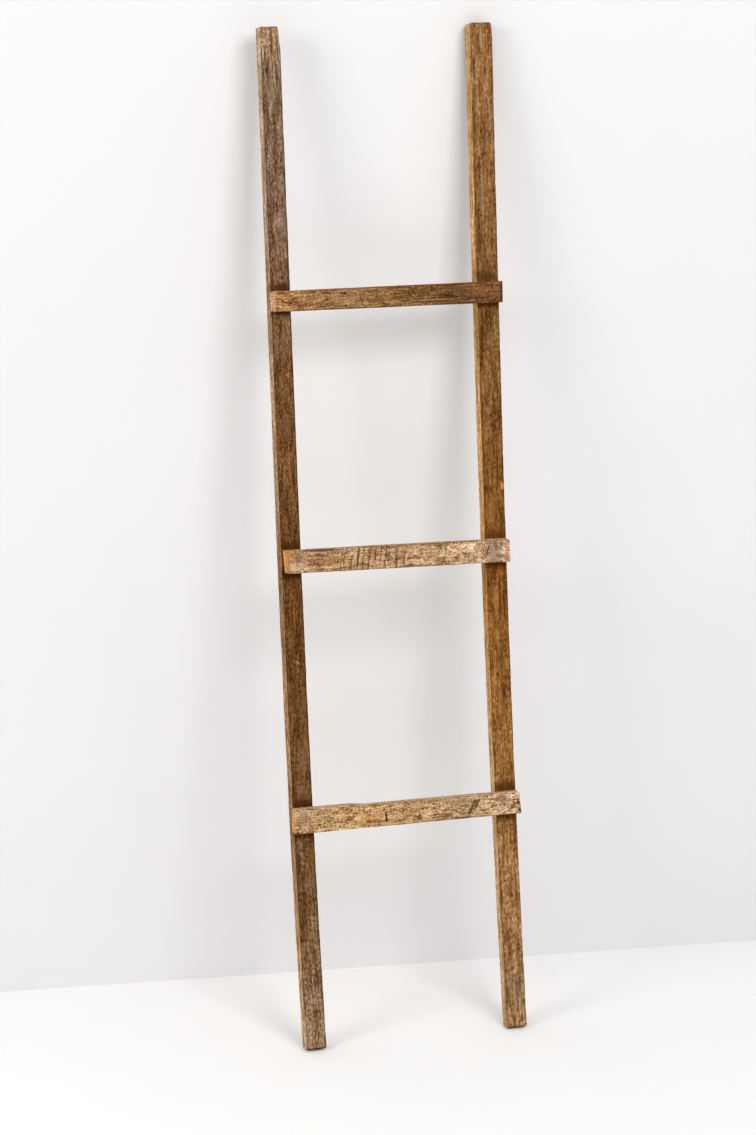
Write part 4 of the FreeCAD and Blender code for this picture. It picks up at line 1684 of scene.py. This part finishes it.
MIDDLE_RUNG_FINISH = TimberFinish(
    name="middle_rung_wood",
    front=(
        (0.01, "#A67C4C"), (0.05, "#BE9A76"), (0.12, "#B89068"), (0.35, "#C29A70"), (0.6, "#CAA47A"),
        (0.85, "#D8B28C"), (0.93, "#AC8256"), (0.98, "#E0B898"),
    ),
    low=even("#A07D58"),
    high=even("#C0A27E"),
    back=even("#B8946C"),
    low_end="#E0AE5C",
    high_end="#9C7B58",
    dark="#4E2E12",
    light="#D3B594",
    arris="#5E4430",
    seed=31.0,
    width=2.9,
    streak=16.0,
    nap=3.4,
    broad_tone=1.8,
    streak_tone=4.2,
    nap_tone=5.5,
    fleck_size=2.0,
    fleck_stretch=1.5,
    fleck_light=0.24,
    fleck_dark=0.6,
    dark_gain=2.3,
    light_gain=0.8,
    kerfs=(
        Kerfs(85, 240, 10.5, -0.2, 0.68),
        Kerfs(75, 245, 6.1, -0.18, 0.25),
        Kerfs(225, 385, 17, -0.25, 0.35),
    ),
    lines=(
        EdgeLine(Face.HIGH, "#6B4C30", 3, 0.6, 130, 380),
        EdgeLine(Face.LOW, "#5E4128", 2.2, 0.6, 40, 400),
    ),
    patches=(
        Patch(72, 18.5, 40, 3, "#4E2E14", 0.75, grit=0.35),
        Patch(268, 18, 42, 3, "#5A3A1E", 0.65, grit=0.4),
        Patch(200, 4, 1.6, 18, "#5E3A1A", 0.7, slant=0.2, ragged=1.6),
        Patch(212, 6, 1.4, 15, "#5E3A1A", 0.65, slant=0.2, ragged=1.6),
        Patch(105, 0, 1.3, 21, "#5A3414", 0.75, slant=0.2, ragged=1.6),
        Patch(130, 2, 1.4, 22, "#5A3414", 0.8, slant=0.2, ragged=1.6),
        Patch(151, 0, 1.5, 22, "#5A3414", 0.8, slant=0.2, ragged=1.6),
        Patch(163, 4, 1.5, 18, "#52300F", 0.9, slant=0.2, ragged=1.6),
        Patch(187, 0, 1.2, 20, "#4A2C14", 0.8, slant=0.2, ragged=1.6),
        Patch(366, 0, 1.2, 14, "#4A3422", 0.7, slant=0.3, ragged=1.6),
        Patch(1, 6, 9, 26, "#D9974A", 0.75, ragged=1.2, slant=0.25),
        Patch(4.5, 0, 1.6, 40, "#7A450E", 0.85, grit=0.5, ragged=1.2),
        Patch(12, -10, 9, 9, "#D3B595", 0.7, ragged=1),
        Patch(22, 10, 9, 8, "#C98E48", 0.6, grit=0.2),
        Patch(24, 6, 11, 12, "#4E2E12", 0.9, grit=0.65),
        Patch(58, 18, 32, 4, "#4A2E18", 0.85, grit=0.25),
        Patch(64, 9, 20, 5, "#55381F", 0.8, grit=0.35),
        Patch(56, 1, 28, 3, "#6A4424", 0.7, grit=0.4),
        Patch(62, -8, 30, 3, "#6A4424", 0.65, grit=0.4),
        Patch(58, -16, 12, 3, "#4A2E18", 0.7, grit=0.3),
        Patch(80, -2, 24, 5, "#A56E34", 0.5, grit=0.3),
        Patch(115, -14, 34, 3, "#55381F", 0.55, grit=0.5),
        Patch(160, 12, 8, 10, "#4E321A", 0.6, grit=0.5, slant=-0.2),
        Patch(225, -17, 16, 2.6, "#4A2C16", 0.85, grit=0.1),
        Patch(265, 0, 22, 6, "#8A5F34", 0.6, grit=0.3),
        Patch(280, 15, 16, 3.5, "#5E4026", 0.75, grit=0.2),
        Patch(312, -10, 9, 9, "#4E3620", 0.75, grit=0.5),
        Patch(332, -6, 9, 9, "#4E3620", 0.7, grit=0.5),
        Patch(371, 2, 2.2, 18, "#36200E", 0.95, slant=0.35, ragged=1.4),
        Patch(384, 0, 15, 28, "#A89484", 0.55, grit=0.1, ragged=1),
        Patch(387, 9, 5.6, 9, "#3E2C20", 0.9, grit=0.45, slant=-0.1, ragged=2.2),
        Patch(397, 12, 4.6, 8, "#3E2C20", 0.9, grit=0.45, slant=0.15, ragged=2.2),
        Patch(391, -9, 7.5, 5, "#4A382C", 0.85, grit=0.5, ragged=2.2),
        Patch(407, 0, 4, 34, "#B47E4C", 0.45, ragged=1.4),
        Patch(412, 15, 3, 5, "#5A4432", 0.7),
    ),
)

BOTTOM_RUNG_FINISH = TimberFinish(
    name="bottom_rung_wood",
    front=(
        (0.02, "#D6AE84"), (0.11, "#C09A6C"), (0.32, "#D2A872"), (0.48, "#BE986A"), (0.64, "#D0AA7E"),
        (0.75, "#B28E68"), (0.92, "#D8B48C"),
    ),
    low=even("#A37F59"),
    high=even("#C6A884"),
    back=even("#BA966D"),
    low_end="#E2B464",
    high_end="#7A5230",
    dark="#4E3014",
    light="#DABD98",
    arris="#62452E",
    seed=43.0,
    width=3.3,
    streak=18.0,
    nap=3.8,
    broad_tone=1.8,
    streak_tone=5.2,
    nap_tone=5.5,
    fleck_size=2.0,
    fleck_stretch=1.5,
    fleck_light=0.35,
    fleck_dark=0.7,
    dark_gain=2.6,
    light_gain=0.75,
    lines=(
        EdgeLine(Face.LOW, "#5E432B", 2.2, 0.65, 180, 440),
        EdgeLine(Face.HIGH, "#8A6846", 2, 0.5, 60, 400),
    ),
    patches=(
        Patch(331, 0, 2.4, 15, "#3A2210", 0.9, grit=0.15, slant=0.6),
        Patch(339, 3, 2.2, 14, "#3A2210", 0.85, grit=0.2, slant=0.6),
        Patch(324, -8, 2.2, 8, "#4A2C12", 0.7, grit=0.3, slant=0.6),
        Patch(165, -11, 34, 3.5, "#6E4220", 0.6, grit=0.45),
        Patch(0.5, 0, 2, 40, "#D89A3A", 0.8, ragged=0.8),
        Patch(18, 4, 16, 22, "#C9A78C", 0.3, grit=0.1),
        Patch(16, 4, 16, 18, "#4E3420", 0.9, grit=0.7),
        Patch(10, -9, 3, 3, "#54381F", 0.8),
        Patch(58, 14, 15, 4, "#8E8072", 0.45, grit=0.1),
        Patch(44, -9, 5, 3, "#5A3E26", 0.8),
        Patch(62, 1, 18, 2.2, "#7A5634", 0.6, grit=0.3),
        Patch(94, 15, 16, 1.8, "#3E2C20", 0.8, grit=0.15),
        Patch(108, 0, 4, 4, "#6A4A30", 0.7, grit=0.2),
        Patch(112, -8, 16, 2.2, "#7A4A20", 0.6, grit=0.3),
        Patch(146, 19, 10, 4.4, "#623418", 0.9, grit=0.3),
        Patch(176, 15, 6, 2.6, "#6E4A2C", 0.8, grit=0.1),
        Patch(143, -5, 28, 9, "#C48438", 0.6, grit=0.25, ragged=2.2, soft=0.9),
        Patch(145, -9, 22, 5, "#4A270A", 1, grit=0.65),
        Patch(168, -5, 2.8, 12, "#2E1A0A", 1, ragged=1.2),
        Patch(170, -11, 4, 5, "#54331A", 0.7, grit=0.3),
        Patch(195, -13, 14, 3, "#6A4424", 0.6, grit=0.3),
        Patch(230, -11, 7, 7, "#4A270A", 1, grit=0.4),
        Patch(222, 2, 12, 1.6, "#5E4024", 0.7, grit=0.2),
        Patch(250, 6, 24, 1.8, "#6A4C30", 0.6, grit=0.2),
        Patch(258, 16, 14, 1.8, "#6A4C30", 0.6, grit=0.2),
        Patch(276, -11, 15, 8, "#4E3520", 0.9, grit=0.5),
        Patch(290, -3, 20, 2.6, "#5A4330", 0.7, slant=2, grit=0.2),
        Patch(298, 9, 12, 6, "#8A8074", 0.35, grit=0.4, ragged=2),
        Patch(328, -1, 4.6, 19, "#3A2616", 0.95, slant=0.55, grit=0.4),
        Patch(337, 3, 3.6, 15, "#33200F", 0.95, slant=0.55, grit=0.35),
        Patch(353, 12, 12, 4, "#A26C3C", 0.5, grit=0.3),
        Patch(386, 10, 16, 10, "#3E3024", 0.95, grit=0.65),
        Patch(390, -2, 4, 5, "#3E2E22", 0.8, grit=0.3),
        Patch(408, -2, 3, 14, "#6A4C32", 0.6, grit=0.4),
        Patch(416, 0, 4, 8, "#5E2C0C", 0.9),
        Patch(417, -14, 4, 5, "#33200F", 0.8),
        Patch(310, -18, 26, 1.8, "#38251A", 0.85, grit=0.1),
    ),
)


# ---------------------------------------------------------------- the whole ladder


class Ladder:
    """Builds every piece of the ladder in order."""

    def __init__(self) -> None:
        """Sets out the battens, the screws and what they share."""
        self.stance = Stance.from_record()
        self.effects = Effects()
        self.wear = wear_tree()
        self.screws = {
            level: ScrewSet(node=level + "_rung_screws") for level in ("top", "middle", "bottom")
        }
        self.rails = (
            Batten("left_rail", Run.UPRIGHT, LEFT_RAIL_FINISH, Relief(), 3.0, 1.3),
            Batten("right_rail", Run.UPRIGHT, RIGHT_RAIL_FINISH, Relief(), 3.0, 1.3),
        )
        self.rungs = {
            "top": Batten("top_rung", Run.LEVEL, TOP_RUNG_FINISH, Relief(), 1.3, 1.0),
            "middle": Batten("middle_rung", Run.LEVEL, MIDDLE_RUNG_FINISH, Relief(kerfs=0.25), 1.3, 1.0),
            "bottom": Batten("bottom_rung", Run.LEVEL, BOTTOM_RUNG_FINISH, Relief(), 1.3, 1.0),
        }
        self.nail_holes = {"top": (NailHole(14.7, 3.4, 1.1, 5.0), NailHole(28.7, -4.0, 1.1, 5.0))}

    def build(self) -> None:
        """Makes the screws first, for the battens' holes are cut to their places."""
        steel = PlatedSteel().material()
        tree = screw_tree()
        places = {level: screws.measure(self.stance) for level, screws in self.screws.items()}
        drill = Drill(self.stance)
        for level, screws in self.screws.items():
            report(screws.build(tree, steel))
        every = [place for level in places.values() for place in level]
        middle = sum(place.x for place in every) / len(every)
        for rail, side in zip(self.rails, (-1.0, 1.0)):
            own = [place for place in every if (place.x - middle) * side > 0.0]
            cutter = drill.screw_holes(rail.node + "_cutter", own)
            report(rail.build(self.stance, self.effects, self.wear, cutter))
            bpy.data.objects.remove(cutter)
        for level, rung in self.rungs.items():
            rung.measure(self.stance)
            nails = self.nail_bodies(rung, self.nail_holes.get(level, ()))
            cutter = drill.pilot_holes(rung.node + "_cutter", places[level], nails)
            report(rung.build(self.stance, self.effects, self.wear, cutter))
            bpy.data.objects.remove(cutter)

    def nail_bodies(self, rung: Batten, holes: tuple[NailHole, ...]) -> list:
        """The cutter's bodies for old nail holes in the front of a rung."""
        low, high = rung.solid.low, rung.solid.high
        bodies = []
        for hole in holes:
            x = low[0] + hole.along * MM
            through = np.array([x, (low[1] + high[1]) / 2.0, 0.0])
            edges = [rung.solid.surface(2, side, through) for side in (-1, 1)]
            z = sum(edges) / 2.0 + hole.across * MM
            radius = hole.radius * MM
            bodies.append((x, z, [(radius, low[1] + hole.depth * MM), (radius, low[1] - 2.0 * MM)]))
        return bodies


def report(piece: Object) -> None:
    """Writes one finished piece in the log."""
    size = Vector(piece.dimensions) / MM
    LOG.info("%s: %d faces, %.0f x %.0f x %.0f mm", piece.name, len(piece.data.polygons), *size)


# ---------------------------------------------------------------- studio


@dataclass(frozen=True)
class Lamp:
    """A large soft lamp, as a window would be: the way to it, its power in watts and its size."""

    name: str
    heading: tuple[float, float, float]
    power: float
    size: float
    distance: float = 4.0

    def build(self, centre: Vector) -> None:
        """Hangs the lamp so that it shines on a point."""
        heading = Vector(self.heading).normalized()
        lamp = bpy.data.lights.new(self.name, "AREA")
        lamp.shape = "SQUARE"
        lamp.size = self.size
        lamp.energy = self.power
        made = add_object(self.name, lamp)
        made.location = centre + heading * self.distance
        made.rotation_euler = heading.to_track_quat("Z", "Y").to_euler()


@dataclass(frozen=True)
class Studio:
    """Pale floor and wall, soft daylight from the front and the left, and the photo's camera."""

    eye: tuple = (-1.3293, -4.4410, 1.9900)
    ahead: tuple = (0.27256, 0.93139, -0.24130)
    right: tuple = (0.96032, -0.27875, 0.00877)
    lens: float = 85.0
    sensor: float = 36.0
    wall_turn: float = -4.93
    wall_depth: float = 0.188
    fill: float = 0.6
    reach: float = 6.0
    wall_height: float = 4.5
    lamps: tuple = (
        Lamp("key", (0.154, -0.794, 0.588), 58.0, 1.5),
        Lamp("side", (-0.86, -0.42, 0.42), 38.0, 1.5),
    )

    def build(self) -> None:
        """Sets up the floor, the wall, the light and the camera."""
        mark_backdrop(self.floor(), self.wall())
        self.world()
        low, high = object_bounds()
        for lamp in self.lamps:
            lamp.build((low + high) / 2.0)
        self.camera()
        bpy.context.scene.view_settings.view_transform = "Standard"

    def sheet(self, name: str, corners: list, material: Material) -> Object:
        """A flat stage piece from its corners."""
        made = add_mesh(name, corners, [tuple(range(len(corners)))])
        made.data.materials.append(material)
        return made

    def pale(self, name: str, tone: str) -> tuple[Material, Graph, Node]:
        """A pale matt paint with a faint mottle.

        Args:
            name: the material's name.
            tone: its hex colour.

        Returns:
            The material, its graph and its shader.
        """
        made, graph = new_material(name)
        place = graph.node("ShaderNodeTexCoord").outputs["Object"]
        mottle = graph.noise(graph.vector("SCALE", place, 3.0), 2.0)
        colour = graph.vector("SCALE", srgb(tone)[:3], graph.spread(mottle, 0.3, 0.7, 0.985, 1.0))
        bump = graph.node("ShaderNodeBump", {"Strength": 0.05, "Distance": MM, "Height": mottle})
        shader = graph.node("ShaderNodeBsdfPrincipled", {
            "Base Color": colour, "Roughness": 0.9, "Specular IOR Level": 0.2, "Normal": bump.outputs[0],
        })
        return made, graph, shader

    def floor(self) -> Object:
        """The pale floor."""
        material, graph, shader = self.pale("floor_paint", "#FBFAF9")
        graph.node("ShaderNodeOutputMaterial", {"Surface": shader.outputs[0]})
        corners = [(x * self.reach, y * self.reach, 0.0) for x, y in ((-1, -1), (1, -1), (1, 1), (-1, 1))]
        return self.sheet("floor", corners, material)

    def wall(self) -> Object:
        """The pale wall, which hides nothing from behind and casts no shadow."""
        material, graph, shader = self.pale("wall_paint", "#EBEAEA")
        behind = graph.node("ShaderNodeNewGeometry").outputs["Backfacing"]
        light_path = graph.node("ShaderNodeLightPath")
        passes = graph.math("MAXIMUM", behind, light_path.outputs["Is Shadow Ray"])
        clear = graph.node("ShaderNodeBsdfTransparent")
        mixed = graph.node("ShaderNodeMixShader", {0: passes, 1: shader.outputs[0], 2: clear.outputs[0]})
        graph.node("ShaderNodeOutputMaterial", {"Surface": mixed.outputs[0]})
        turn = math.radians(self.wall_turn)
        corners = []
        for side, height in ((-1, 0.0), (1, 0.0), (1, self.wall_height), (-1, self.wall_height)):
            away = side * self.reach
            corners.append((away * math.cos(turn), self.wall_depth + away * math.sin(turn), height))
        return self.sheet("wall", corners, material)

    def world(self) -> None:
        """Even white fill, and plain white wherever the camera sees past the floor and the wall."""
        made = bpy.data.worlds.new("studio")
        bpy.context.scene.world = made
        made.use_nodes = True
        made.node_tree.nodes.clear()
        graph = Graph(made.node_tree)
        light_path = graph.node("ShaderNodeLightPath")
        seen = graph.plus(light_path.outputs["Is Camera Ray"], light_path.outputs["Is Glossy Ray"])
        seen = graph.math("ADD", seen, light_path.outputs["Is Transmission Ray"], clamp=True)
        fill = graph.node("ShaderNodeBackground", {"Color": (1.0, 1.0, 1.0, 1.0), "Strength": self.fill})
        white = graph.node("ShaderNodeBackground", {"Color": (1.0, 1.0, 1.0, 1.0), "Strength": 1.0})
        mixed = graph.node("ShaderNodeMixShader", {0: seen, 1: fill.outputs[0], 2: white.outputs[0]})
        graph.node("ShaderNodeOutputWorld", {"Surface": mixed.outputs[0]})

    def camera(self) -> None:
        """The camera at the photo's place, height and field of view."""
        ahead, right = Vector(self.ahead).normalized(), Vector(self.right).normalized()
        up = right.cross(ahead).normalized()
        made = bpy.data.cameras.new("camera")
        made.lens = self.lens
        made.sensor_width = self.sensor
        made.sensor_fit = "AUTO"
        holder = add_object("camera", made)
        turn = Matrix((right, up, -ahead)).transposed()
        holder.location = self.eye
        holder.rotation_euler = turn.to_euler()
        bpy.context.scene.camera = holder


def main() -> None:
    """Builds the ladder and its studio."""
    logging.basicConfig(level=logging.INFO, format="%(message)s")
    Ladder().build()
    Studio().build()
    bpy.context.view_layer.update()
    sizes = {"frame": frame_box, "looks": [list(corner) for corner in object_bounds()]}
    for name, box in sizes.items():
        LOG.info("%s box %s", name, box)


if __name__ == "__main__":
    main()
